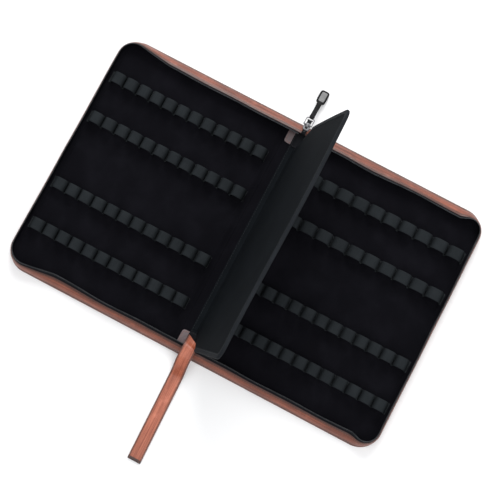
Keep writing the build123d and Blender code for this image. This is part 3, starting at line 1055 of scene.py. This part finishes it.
def slab(outline, low, high, edge, steps=4):
    # an outline stacked upwards and drawn in at both faces by a quarter round of that radius
    turn = np.linspace(0, math.pi / 2, steps)
    drawn = np.concatenate([1 - np.sin(turn), (1 - np.sin(turn))[::-1]]) * edge
    level = np.concatenate([low + (1 - np.cos(turn)) * edge, high - (1 - np.cos(turn[::-1])) * edge])
    middle = outline.mean(axis=0)
    size = np.linalg.norm(outline - middle, axis=1).min()
    plan = middle + (outline - middle)[None] * (1 - drawn / size)[:, None, None]
    height = np.broadcast_to(level[:, None, None], plan.shape[:2] + (1,))
    return np.concatenate([plan, height], axis=2)


def sewnPlate(size, middle, levels, made, pitch, stitch):
    # a flat plate and the row of stitches round it; made says how round, thin and far in
    outline = roundedRectangle(*size, made["power"], 64) + middle
    inset = 2 * made["stitchInset"]
    line = roundedRectangle(size[0] - inset, size[1] - inset, patch["power"], made["stitchPoints"])
    line = evenly(np.concatenate([line, line[:1]]) + middle, pitch)[:-1]
    above = upright * (levels[1] + gusset["stitchLift"])
    return slab(outline, *levels, made["edge"]), (flatTo3(line) + above, upright, stitch)


def spineEnds():
    low, high = boxOf("spine_end_patches")
    inner = boxOf("divider_hinge_tape")[1][1] + 0.5
    plates, rows = [], []
    for end in (-1, 1):
        size, middle = (high[0] - low[0], high[1] - inner), [0, end * (inner + high[1]) / 2]
        made = sewnPlate(size, middle, (low[2], high[2]), patch, patch["pitch"], gusset["stitch"])
        plates.append(made[0])
        rows.append(made[1])
    piece = gridPiece("spineEndPatches", plates, patchLeatherPaintedShade, wrapped=True)
    settle(piece, "spine", "patch_leather", "spine_end_patches")
    settle(beadPiece("patchStitches", rows, brownThread), "spine", "patch_leather")

    plates, rows = [], []
    inner = inner - zipEnds["tuck"]
    levels = (high[2] + 0.02, high[2] + zipEnds["thick"])
    for end in (-1, 1):
        size = (2 * zipEnds["half"], zipEnds["reach"] - inner)
        middle = [zipEnds["shift"], end * (inner + zipEnds["reach"]) / 2]
        made = sewnPlate(size, middle, levels, zipEnds, tape["pitch"], tape["stitch"])
        plates.append(made[0])
        rows.append(made[1])
    settle(gridPiece("zipTapeEnds", plates, zipTapeCloth, wrapped=True), "spine", "zip_tape")
    settle(beadPiece("zipEndStitches", rows, blackThread), "spine", "zip_tape")


def makeSpine():
    length = edgeY - coverSkin["inset"]
    x, y = np.meshgrid(np.linspace(-spineHalf, spineHalf, 18), np.linspace(-length, length, 72))
    grid = pointsAt(x, y, skinLevel(edgeY - np.abs(y)))
    piece = gridPiece("spineSkin", grid, shellLeather, thick=skinShell)
    settle(piece, "spine", "shell_leather", "spine_leather")

    half = boxOf("spine_lining")[1]
    x, y = np.meshgrid(np.linspace(-half[0], half[0], 20), np.linspace(-half[1], half[1], 110))
    short, long = spine["ribLengths"]
    wave = 0.5 + 0.5 * np.sin(x / short) * np.sin(y / long)
    z = spineInside - spine["liningThick"] / 2 - spine["rib"] * wave
    piece = gridPiece("spineLining", pointsAt(x, y, z), liningCloth, thick=spine["liningThick"])
    settle(piece, "spine", "lining_fabric", "spine_lining")

    strips = [pipingStrip(route) for route in bothEnds(-spineHalf, spineHalf, piping["step"])]
    piece = gridPiece("spinePiping", strips, pipingLeather, wrapped=True)
    settle(piece, "spine", "piping_leather", "spine_piping")
    routes = bothEnds(-tabHalf, tabHalf, spine["rimStep"])
    piece = rimStrip("spineEndTabs", routes, gussetOutlines, gussetLeather)
    settle(piece, "spine", "shell_leather", "spine_end_tabs")
    piece = rimStrip("spineEndFacing", routes, facingOutlines(spineInside), liningCloth)
    settle(piece, "spine", "lining_fabric")
    spineEnds()

    low, high = boxOf("divider_hinge_tape")
    x, y = np.meshgrid(np.linspace(low[0], high[0], 13), np.linspace(low[1], high[1], 120))
    grid = pointsAt(x, y, (low[2] + high[2]) / 2 + 0.05 * np.sin(y / 5.0))
    piece = gridPiece("dividerHingeTape", grid, pageCloth, thick=spine["tapeThick"])
    settle(piece, "spine", "page_fabric", "divider_hinge_tape")
    y = np.arange(low[1] + 2, high[1] - 2, spine["stitchPitch"])
    level = high[2] + gusset["stitchLift"]
    rows = [
        (pointsAt(side * spine["stitchAt"], y, level), upright, tape["stitch"]) for side in (-1, 1)
    ]
    settle(beadPiece("hingeTapeStitches", rows, blackThread), "spine", "page_fabric")


page = {
    "bow": -1.2,  # towards the left cover
    "bowPower": 1.2,
    "wave": 0.8,
    "waveLength": 46.0,
    "longer": 3.5,  # how far the soft page's two ends stand past its stiff solid
    "faceThick": 0.6,
    "coreThick": 1.6,
    "step": 4.0,
    "keep": 0.35,  # share of the bow left when the case is shut
    "hem": 1.35,
    "start": {"face": 1.6, "core": 0.4},  # how far up from the hinge each layer begins
}
dividerJoint = next(j for j in frame["joints"] if j["name"] == "divider_lean")
hinge = np.array(dividerJoint["pos_m"]) / mm
lean = math.radians(dividerJoint["range_deg"][1])
pageUp = np.array([math.sin(lean), 0, math.cos(lean)])
pageOut = np.array([math.cos(lean), 0, -math.sin(lean)])
bindingHigh = boxOf("divider_binding")[1]
pageHalf = bindingHigh[1] + page["longer"]
pageReach = (bindingHigh[2] - hinge[2]) / math.cos(lean) - 0.4
pageShape = {
    "corner": 14.0,
    "footHigh": 52.0,
    "footWide": 20.0 + page["longer"],
    "bindingInset": 3.0,
}
binding = {
    "outer": 1.9,  # half its thickness outside and inside
    "inner": 1.42,
    "cover": 6.0,  # how far it reaches over the page
    "flat": 1.8,  # where its nose begins
    "nose": (1.6, 1.5),
    "step": 3.0,
    "stitchInset": 4.7,
    "stitchPitch": 3.2,
}
hingeCloth = {
    "out": 7.0,
    "top": 13.0,
    "side": (2.0, 1.75),  # how far from the page's middle, at its foot and at its top
    "lift": 0.95,
    "thick": 0.45,
    "half": 125.0,
    "bend": (5.0, 15.0),  # heights between which it goes from the spine to the page
}


def onPage(grid):
    # (along the spine, up the page, out of its face) to case coordinates, with the page's own bow
    a, b, out = grid[..., 0], grid[..., 1], grid[..., 2]
    t = np.clip(b / pageReach, 0, 1)
    bow = page["bow"] * np.sin(math.pi * t) ** page["bowPower"]
    bow = bow + page["wave"] * np.sin(a / page["waveLength"] + 0.6) * t * t
    flat = hinge + farwards * a[..., None] + pageUp * b[..., None]
    return flat + pageOut * (out + bow)[..., None]


def pageRows(start, inset, step):
    # rows up the page; its half width grows over the cut foot and shrinks in the corner arcs
    radius = pageShape["corner"] - inset
    straight = pageReach - pageShape["corner"]
    arc = straight + radius * np.sin(np.linspace(0, math.pi / 2, 12))
    foot = np.linspace(start, pageShape["footHigh"], 14)
    b = np.concatenate([foot, np.linspace(pageShape["footHigh"], straight, int(140 / step))[1:-1], arc])
    past = np.clip(b - straight, 0, radius)
    half = pageHalf - pageShape["corner"] + np.sqrt(np.maximum(radius ** 2 - past ** 2, 0))
    half = half - pageShape["footWide"] * (1 - b / pageShape["footHigh"]).clip(0)
    a = half[:, None] * np.linspace(-1, 1, int(2 * pageHalf / step))
    return a, np.broadcast_to(b[:, None], a.shape)


def bindingRoute(step):
    # the page's free edge: up one side, round the corner, along the top, and down
    radius, foot = pageShape["corner"], pageShape["footHigh"] + 1
    corners = [(-pageHalf, foot), (-pageHalf, pageReach), (pageHalf, pageReach), (pageHalf, foot)]
    line = roundedPath(corners, radius, step)
    return flatTo3(line), flatTo3(-leftOf(line))


def pagePiece(name, grid, finish, slot, wrapped=False, thick=0.0, nodes=()):
    piece = gridPiece(name, onPage(grid), finish, wrapped=wrapped, thick=thick)
    settle(piece, "divider", slot, *nodes)
    flatten(piece)
    return piece


def flatten(piece):
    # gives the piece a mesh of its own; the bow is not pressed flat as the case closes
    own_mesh(piece)


def bindingOutline():
    # a tape folded over the page's edge: flat outer faces, a rounded nose, and flat inner faces
    outer, inner, cover, flat = [binding[key] for key in ("outer", "inner", "cover", "flat")]
    middle, deep = binding["nose"]
    turn = np.linspace(math.pi / 2, 3 * math.pi / 2, 7)[1:-1]
    nose = np.stack([middle + deep * np.cos(turn), outer * np.sin(turn)], axis=1)
    back = [(flat, -outer), (cover, -outer + 0.1), (cover, -inner), (flat + 0.1, -inner)]
    return np.concatenate([
        [(cover, outer - 0.1), (flat, outer)], nose, back, [(flat + 0.1, inner), (cover, inner)],
    ])


def makeHingeCloth():
    strips = []
    foot, top = hingeCloth["side"]
    base = spineInside + hingeCloth["lift"]
    y = np.linspace(-hingeCloth["half"], hingeCloth["half"], 64)
    for side in (-1, 1):
        climb = hinge + pageUp * hingeCloth["top"] + pageOut * side * top
        low = hinge + pageUp * 2.0 + pageOut * side * foot
        corners = [(side * hingeCloth["out"], base), (low[0], base + 0.25), (climb[0], climb[2])]
        line = roundedPath(corners, 2.0, 0.8)
        outline = ribbonOutline(line, hingeCloth["thick"])
        strips.append(sweep(pointsAt(0, y, 0), rightwards, upright, outline))
    piece = gridPiece("dividerHingeCloth", strips, pageCloth, wrapped=True)
    start, end = [(0, 0, height) for height in hingeCloth["bend"]]
    bendAcross(piece, ("spine", "divider"), start, end, "page_fabric")


def makeDivider():
    inset = pageShape["bindingInset"]
    half = page["coreThick"] / 2 + page["faceThick"] / 2
    for hand, side in case["hands"].items():
        a, b = pageRows(page["start"]["face"], inset, page["step"])
        piece = pagePiece(
            f"dividerFace{hand.title()}", pointsAt(a, b, side * half), pageCloth, "page_fabric",
            thick=page["faceThick"] - 0.04, nodes=[f"divider_face_{hand}"],
        )
        flat = (2 * (pageHalf - inset) * mm, (pageReach - inset) * mm)
    a, b = pageRows(page["start"]["core"], inset, page["step"] * 2)
    pagePiece(
        "dividerCore", pointsAt(a, b, 0), pageFelt, "page_core",
        thick=page["coreThick"], nodes=["divider_core"],
    )
    y = np.linspace(-1, 1, 40) * (pageHalf - pageShape["footWide"])
    grid = sweep(pointsAt(0, y, 0) + hinge, rightwards, upright, circleOutline(page["hem"], 12))
    settle(gridPiece("dividerHem", grid, pageFelt, wrapped=True), "divider", "page_core")

    path, inward = bindingRoute(binding["step"])
    grid = sweep(path, inward, upright, bindingOutline())
    pagePiece(
        "dividerBinding", grid, bindingTape, "page_binding", wrapped=True, nodes=["divider_binding"]
    )
    path, inward = bindingRoute(binding["stitchPitch"])
    line = path + inward * binding["stitchInset"]
    above = upright * (binding["outer"] - 0.02)
    rows = [(onPage(line + above * side), pageOut * side, tape["stitch"]) for side in (-1, 1)]
    flatten(settle(beadPiece("bindingStitches", rows, blackThread), "divider", "page_binding"))
    makeHingeCloth()


strap = {
    "width": 17.0,
    "layer": 1.42,
    "apart": 0.81,  # from the folded strap's middle to the middle of a layer
    "bend": 9.0,
    "skew": 1.4,
    "cutBack": 9.0,  # slant of the root's inner end, which fades out along the strap
    "cutFade": (3.0, 16.0),
    "stitchInset": 2.1,
    "stitchPitch": 3.3,
    "rootStart": (-134.2, 12.4),
    "rootTurn": -146.5,
    "down": ((9.5, 18.6), (21.0, 1.62)),
    "step": 2.2,
    "held": 3.5,  # each side of the pivot, where it bends
}
strapJoint = next(j for j in frame["joints"] if j["name"] == "strap_swing")
strapPivot = np.array(strapJoint["pos_m"]) / mm


def onStrap(grid):
    # (across, along from the pivot, up) to case coordinates; past the pivot the strap is skewed a little
    x, s, z = grid[..., 0], grid[..., 1], grid[..., 2]
    skew = math.radians(strap["skew"]) * smoothRise(-2, 12, s)
    across = strapPivot[0] + x + np.maximum(s, 0) * np.sin(skew)
    return pointsAt(across, strapPivot[1] - s, z)


def strapShade(tip):
    # both long edges are dark: a cosine across the strip is lowest at its two rims; the tip is dark too
    side = strap["width"] - strap["layer"]
    period = side + math.pi * strap["layer"] / 2

    def shade(graph):
        along, across, _ = graph.apart(graph.surfacePlace())
        turn = 2 * math.pi / (period * mm)
        edges = (across * turn - (turn * side * mm / 2 + math.pi / 2)).sine().between(0.62, 0.8)
        fromTip = abs(along - tip * mm)
        ends = 1 - fromTip.between(2.4 * mm, 4.0 * mm)
        warm = (1 - fromTip.between(4 * mm, 50 * mm)) * 0.2
        return edges.maths("MAXIMUM", edges * 0.85, ends + warm)

    return shade


def makeStrap():
    apart, layer = strap["apart"], strap["layer"]
    far = strapPivot[1] - boxOf("wrist_strap")[0][1]
    level = strapPivot[2]
    start = (strapPivot[1] - strap["rootStart"][0], strap["rootStart"][1])
    turned = strapPivot[1] - strap["rootTurn"]
    corners = [start, (turned, level), (0.0, level), *strap["down"]]
    corners.append((far - apart - layer / 2, strap["down"][-1][1]))
    line = roundedPath(corners, strap["bend"], strap["step"])
    along, up = directions(line), leftOf(line)
    turn = np.linspace(math.pi / 2, -math.pi / 2, 9)[1:-1, None]
    tip = line[-1] + apart * (along[-1] * np.cos(turn) + up[-1] * np.sin(turn))
    line = np.concatenate([line + up * apart, tip, (line - up * apart)[::-1]])
    grid = sweepUpright(line, flatRibbon(strap["width"], layer, 9))
    # the root's inner end is cut on a slant: points near it slide along the strap by their place across
    cut = strap["cutBack"] * (grid[..., 0] / strap["width"] + 0.5)
    keep, fade = [start[0] + reach for reach in strap["cutFade"]]
    slide = cut * (1 - smoothRise(start[0], fade, grid[..., 1]))
    grid[..., 1] += slide
    climb = (level - start[1]) / (turned - start[0])
    grid[..., 2] += slide * climb * (1 - smoothRise(keep, fade, grid[..., 1]))
    tip = runOf(onStrap(grid).mean(axis=1))[-1] / 2
    strapLeather = leather(
        "strapLeather", colour(0.50, 0.150, 0.080), colour(0.215, 0.038, 0.011),
        1100.0, 0.68, 0.34, strapShade(tip),
    )
    piece = gridPiece("wristStrap", onStrap(grid), strapLeather, wrapped=True)
    bodies = ("spine", "wrist_strap")
    ends = [(strapPivot[0], strapPivot[1] + reach, 0) for reach in (strap["held"], -strap["held"])]
    bendAcross(piece, bodies, *ends, "strap_leather", "wrist_strap", "strap_root")

    line = roundedPath(corners, strap["bend"], strap["stitchPitch"])
    up = leftOf(line)
    seam = line + up * (apart + layer / 2)
    rows = []
    for side in (-1, 1):
        keep = line[:, 0] > start[0] + 6 + (side + 1) * strap["cutBack"] / 2
        x = side * (strap["width"] / 2 - strap["stitchInset"])
        row = onStrap(pointsAt(x, seam[keep][:, 0], seam[keep][:, 1]))
        rows.append((row, pointsAt(0, -up[keep][:, 0], up[keep][:, 1]), gusset["stitch"]))
    piece = beadPiece("strapStitches", rows, brownThread)
    bendAcross(piece, bodies, *ends, "strap_leather")


stub = {
    "width": 5.4,
    "thick": 0.55,
    "below": 0.72,  # of its level to its solid's top
    "behind": 1.4,
    "bend": 2.2,
    "coilPitch": 1.15,
    "coilApart": 0.55,
    "bead": (0.95, 1.5, 0.72),
}
endStop = {"round": 0.7, "power": 4.0}
slider = {
    "nose": 0.86,
    "power": 3.4,
    "edge": 0.55,
    "plate": 1.35,
    "wall": (0.9, 3.4),  # thickness, and how much shorter than the body
    "wallInset": 0.55,
    "bridge": 1.25,
    "bridgeBend": 1.1,
}


def makeZipEnds():
    reach = tailStart - 0.3
    piece = rimStrip("zipBottomJoin", [endRoute(-1, -reach, reach, 1.0)], tapeSections, zipTapeCloth)
    settle(piece, "spine", "zip_tape", "zip_bottom_join")
    rows = [coilRow(endRoute(-1, -tailStart + 0.9, tailStart - 0.9, coil["pitch"]))]
    settle(beadPiece("bottomJoinCoil", rows, zipCoil), "spine", "zip_coil")

    low, high = boxOf("zip_stub")
    level = high[2] - stub["below"]
    behind = edgeY - rim["seam"]["far"][0] - stub["behind"]
    corners = [(behind, low[2] + 0.9), (behind, level), (high[1], level)]
    line = roundedPath(corners, stub["bend"], 0.7)
    grid = sweepUpright(line, flatRibbon(stub["width"], stub["thick"]))
    settle(gridPiece("zipStub", grid, zipTapeCloth, wrapped=True), "spine", "zip_tape", "zip_stub")
    y = np.arange(behind + 3.2, high[1] - 1.3, stub["coilPitch"])
    rows = []
    for side, shift in ((-1, 0.0), (1, stub["coilPitch"] / 2)):
        row = pointsAt(side * stub["coilApart"], y + shift, level + 0.55)
        rows.append((row, upright, stub["bead"]))
    settle(beadPiece("zipStubCoil", rows, zipCoil), "spine", "zip_coil")

    low, high = boxOf("zip_end_stop")
    thick = endStop["round"]
    ring = roundedRectangle(high[0] - low[0] - thick, high[2] - low[2] - thick, endStop["power"], 32)
    out = ring / np.linalg.norm(ring, axis=1, keepdims=True)
    path = pointsAt(ring[:, 0], 0, ring[:, 1]) + (low + high) / 2
    outline = roundedRectangle(thick, high[1] - low[1], 3.0, 12)
    grid = sweep(path, pointsAt(out[:, 0], 0, out[:, 1]), farwards, outline)
    piece = gridPiece("zipEndStop", grid, nickel, wrapped=True, looped=True)
    settle(piece, "spine", "nickel", "zip_end_stop")


def makeSlider():
    low, high = boxOf("slider_body")
    middle = (low + high) / 2
    outline = roundedRectangle(high[0] - low[0], high[1] - low[1], slider["power"], 56)
    narrow = 1 - (1 - slider["nose"]) * smoothRise(-1, 5, outline[:, 1])
    outline = np.stack([outline[:, 0] * narrow, outline[:, 1] + middle[1]], axis=1)
    plates = [
        slab(outline, high[2] - slider["plate"] - 0.2, high[2], slider["edge"]),
        slab(outline, low[2], low[2] + slider["plate"] + 0.3, slider["edge"]),
    ]
    thick, shorter = slider["wall"]
    wall = roundedRectangle(thick, high[1] - low[1] - shorter, 4.0, 24)
    for side in (-1, 1):
        place = [side * (high[0] - slider["wallInset"]), middle[1] - 0.6]
        levels = (low[2] + slider["plate"], high[2] - slider["plate"] + 0.1)
        plates.append(slab(wall + place, *levels, 0.1))
    piece = gridPiece("sliderBody", plates, nickel, wrapped=True)
    settle(piece, "zip_slider", "nickel", "slider_body")

    low, high = boxOf("slider_bridge")
    foot, top, end = low[2] - 0.3, high[2] - 0.65, high[1] - 0.65
    corners = [(low[1] + 0.7, foot), (low[1] + 2.4, top), (end, top), (end, foot)]
    outline = roundedRectangle(high[0] - low[0], slider["bridge"], 3.6, 20)
    grid = sweepUpright(roundedPath(corners, slider["bridgeBend"], 0.45), outline)
    piece = gridPiece("sliderBridge", grid, nickel, wrapped=True)
    settle(piece, "zip_slider", "nickel", "slider_bridge")


puller = {
    "slope": 20.2,  # degrees below level
    "linkHalf": 5.1,
    "linkEnd": 10.9,
    "linkBend": 2.6,
    "swell": (0.25, 2.0),  # of the fork round the pin: how much, and over how far
    "bar": (1.15, 1.55),
    "pin": 0.8,
    "stem": (10.1, 36.8, 6.2, 3.3),  # start, end, width, thickness
    "grip": (36.4, 55.9, 12.0, 3.2),
    "rim": 2.1,
    "recess": 0.5,
    "knurl": 1.5,
    "knurlHeight": (0.2, 0.3),  # of the plain face and of the points
    "collar": (0.1, 0.7),  # height and width of the two rings on the stem
}
pullerJoint = next(j for j in frame["joints"] if j["name"] == "puller_swing")
pullerPin = np.array(pullerJoint["pos_m"]) / mm
slope = math.radians(puller["slope"])
pullerAlong = np.array([0, math.cos(slope), -math.sin(slope)])
pullerUp = np.array([0, math.sin(slope), math.cos(slope)])


def onPuller(grid):
    # (across, along from the pin, up from the puller's middle) to case coordinates
    x, along, up = grid[..., :1], grid[..., 1:2], grid[..., 2:]
    return pullerPin + rightwards * x + pullerAlong * along + pullerUp * up


def pullerPiece(name, grids, finish, slot, node, **shape):
    piece = gridPiece(name, [onPuller(grid) for grid in grids], finish, **shape)
    settle(piece, "zip_puller", slot, node)


def makeLink():
    half, end = puller["linkHalf"], puller["linkEnd"]
    corners = [(-half, -0.2), (-half, end), (half, end), (half, -0.2)]
    line = roundedPath(corners, puller["linkBend"], 0.7)
    run = runOf(line)
    path = flatTo3(line)
    fork = sweep(path, flatTo3(-leftOf(line)), upright, roundedRectangle(*puller["bar"], 3.4, 16))
    more, reach = puller["swell"]
    swell = 1 + more * (2 - smoothRise(0, reach, run) - smoothRise(0, reach, run[-1] - run))
    fork = path[:, None] + (fork - path[:, None]) * swell[:, None, None]
    x = np.linspace(-half - 0.45, half + 0.45, 5)
    pin = sweep(pointsAt(x, 0, 0), farwards, upright, circleOutline(puller["pin"], 16))
    pullerPiece("pullerLink", [fork, pin], nickel, "nickel", "puller_link", wrapped=True)


def makeStem():
    # a bar with a slight waist, a rounded end at the fork and two low collars shaped as bell curves
    start, end, width, thick = puller["stem"]
    s = np.linspace(start, end, 54)
    waist = 1 - 0.06 * np.sin(math.pi * (s - start) / (end - start))
    high, wide = puller["collar"]
    collar = sum(high * np.exp(-(((s - place) / wide) ** 2)) for place in (end - 2.4, start + 3.6))
    tuck = np.sqrt(np.clip(1 - ((start + 1.2 - s) / 1.2).clip(0) ** 2, 0.08, 1))
    size = ((waist + collar) * tuck)[:, None, None]
    outline = roundedRectangle(width, thick, 3.6, 28)
    grid = sweep(pointsAt(0, s, 0), rightwards, upright, outline[None] * size)
    pullerPiece("pullerStem", [grid], pullerRubber, "puller_rubber", "puller_stem", wrapped=True)


def makeGrip():
    start, end, width, thick = puller["grip"]
    length, middle = end - start, (start + end) / 2
    rim, deep = puller["rim"], puller["recess"]
    top = thick / 2
    profile = [(rim + 0.35, top - deep), (rim, top - deep + 0.1), (rim - 0.1, top - 0.1)]
    profile += [(rim - 0.3, top), (0.7, top), (0.25, top - 0.2), (0.04, top - 0.6)]
    profile += [(inset, -height) for inset, height in profile[::-1]]
    outline = roundedRectangle(width, length, 4.6, 56)
    rings = []
    for inset, height in profile:
        ring = outline * [1 - 2 * inset / width, 1 - 2 * inset / length] + [0, middle]
        rings.append(pointsAt(ring[:, 0], ring[:, 1], height))
    grids = [np.stack(rings)]
    pullerPiece("pullerGrip", grids, pullerRubber, "puller_rubber", "puller_grip", wrapped=True)

    # two families of slanted grooves cross on each face and leave small points between them
    wide, long = width - 2 * rim - 0.5, length - 2 * rim - 0.5
    x, y = np.meshgrid(np.linspace(-0.5, 0.5, 43), np.linspace(-0.5, 0.5, 79))
    grooves = [np.abs(((x * wide + way * y * long) / puller["knurl"]) % 1 - 0.5) for way in (1, -1)]
    margin = np.minimum(0.5 - np.abs(x), (0.5 - np.abs(y)) * long / wide)
    plain, points = puller["knurlHeight"]
    knurl = 2 * points * np.minimum(*grooves) * smoothRise(0.05, 0.1, margin)
    height = top - deep - 0.05 + smoothRise(0.0, 0.05, margin) * (plain + knurl)
    grids = [pointsAt(x * wide, y * long + middle, side * height) for side in (1, -1)]
    pullerPiece("pullerInlays", grids, pullerInlay, "puller_inlay", "puller_inlays", thick=0.12)


def makePuller():
    makeLink()
    makeStem()
    makeGrip()


for hand, side in case["hands"].items():
    makeCover(hand, side)
    makeFold(hand, side)
    print(hand, "cover made")
makeSpine()
makeDivider()
makeStrap()
print("spine, divider and strap made")
makeZipEnds()
makeSlider()
makePuller()
print("zip slider and puller made")

for name, node in frame["nodes"].items():
    finish = greyBoard if name.endswith("_board") else paddingFoam
    node.data.materials.clear()
    node.data.materials.append(finish)

studio = {
    "floorSize": 3.0,
    "floorDrop": 0.25,  # mm below the case
    "cameraPlace": (75.14, -189.89, 1456.18),
    "cameraRight": (0.8850, 0.4652, 0.0176),
    "cameraUp": (-0.4634, 0.8765, 0.1306),
    "cameraBack": (0.0454, -0.1238, 0.9913),
    "lens": 86.93,
    "air": 0.6,
    "lights": {  # place and aim in metres, size, watts
        "keyLight": ((-0.4, 1.4, 1.25), (0.0, 0.0, 0.0), 1.2, 26.0),
        "fillLight": ((0.9, -0.9, 1.5), (0.0, 0.0, 0.0), 1.6, 10.0),
        "overLight": ((-0.1, -0.2, 2.2), (0.0, 0.0, 0.0), 2.2, 16.0),
    },
}


def makeStudio():
    size = studio["floorSize"] / 2
    bpy.ops.mesh.primitive_grid_add(x_subdivisions=8, y_subdivisions=8, size=2 * size)
    floor = bpy.context.object
    floor.name = "floor"
    floor.location.z = -studio["floorDrop"] * mm
    graph = Graph("paleFloor", {"Roughness": 0.75, "Specular IOR Level": 0.1})
    soft = graph.noise(graph.objectPlace(), 3.0, 2.0)
    graph.finish({"Base Color": graph.mix(soft, colour(0.93, 0.93, 0.93), colour(0.90, 0.90, 0.90))})
    floor.data.materials.append(graph.material)
    for name, (place, aim, wide, power) in studio["lights"].items():
        light = bpy.data.lights.new(name, "AREA")
        light.shape, light.size, light.energy = "DISK", wide, power
        lamp = bpy.data.objects.new(name, light)
        lamp.location = place
        lamp.rotation_euler = (Vector(aim) - Vector(place)).to_track_quat("-Z", "Y").to_euler()
        scene.collection.objects.link(lamp)
    world = bpy.data.worlds.new("studioAir")
    world.use_nodes = True
    world.node_tree.nodes["Background"].inputs["Color"].default_value = colour(0.97, 0.98, 1.0)
    world.node_tree.nodes["Background"].inputs["Strength"].default_value = studio["air"]
    scene.world = world
    scene.view_settings.view_transform = "Standard"
    lens = bpy.data.cameras.new("camera")
    lens.lens, lens.sensor_width = studio["lens"], 36.0
    lens.clip_start, lens.clip_end = 0.05, 20.0
    camera = bpy.data.objects.new("camera", lens)
    turn = Matrix([studio["cameraRight"], studio["cameraUp"], studio["cameraBack"]]).transposed()
    camera.matrix_world = Matrix.Translation(Vector(studio["cameraPlace"]) * mm) @ turn.to_4x4()
    scene.collection.objects.link(camera)
    scene.camera = camera


makeStudio()
print("studio made")
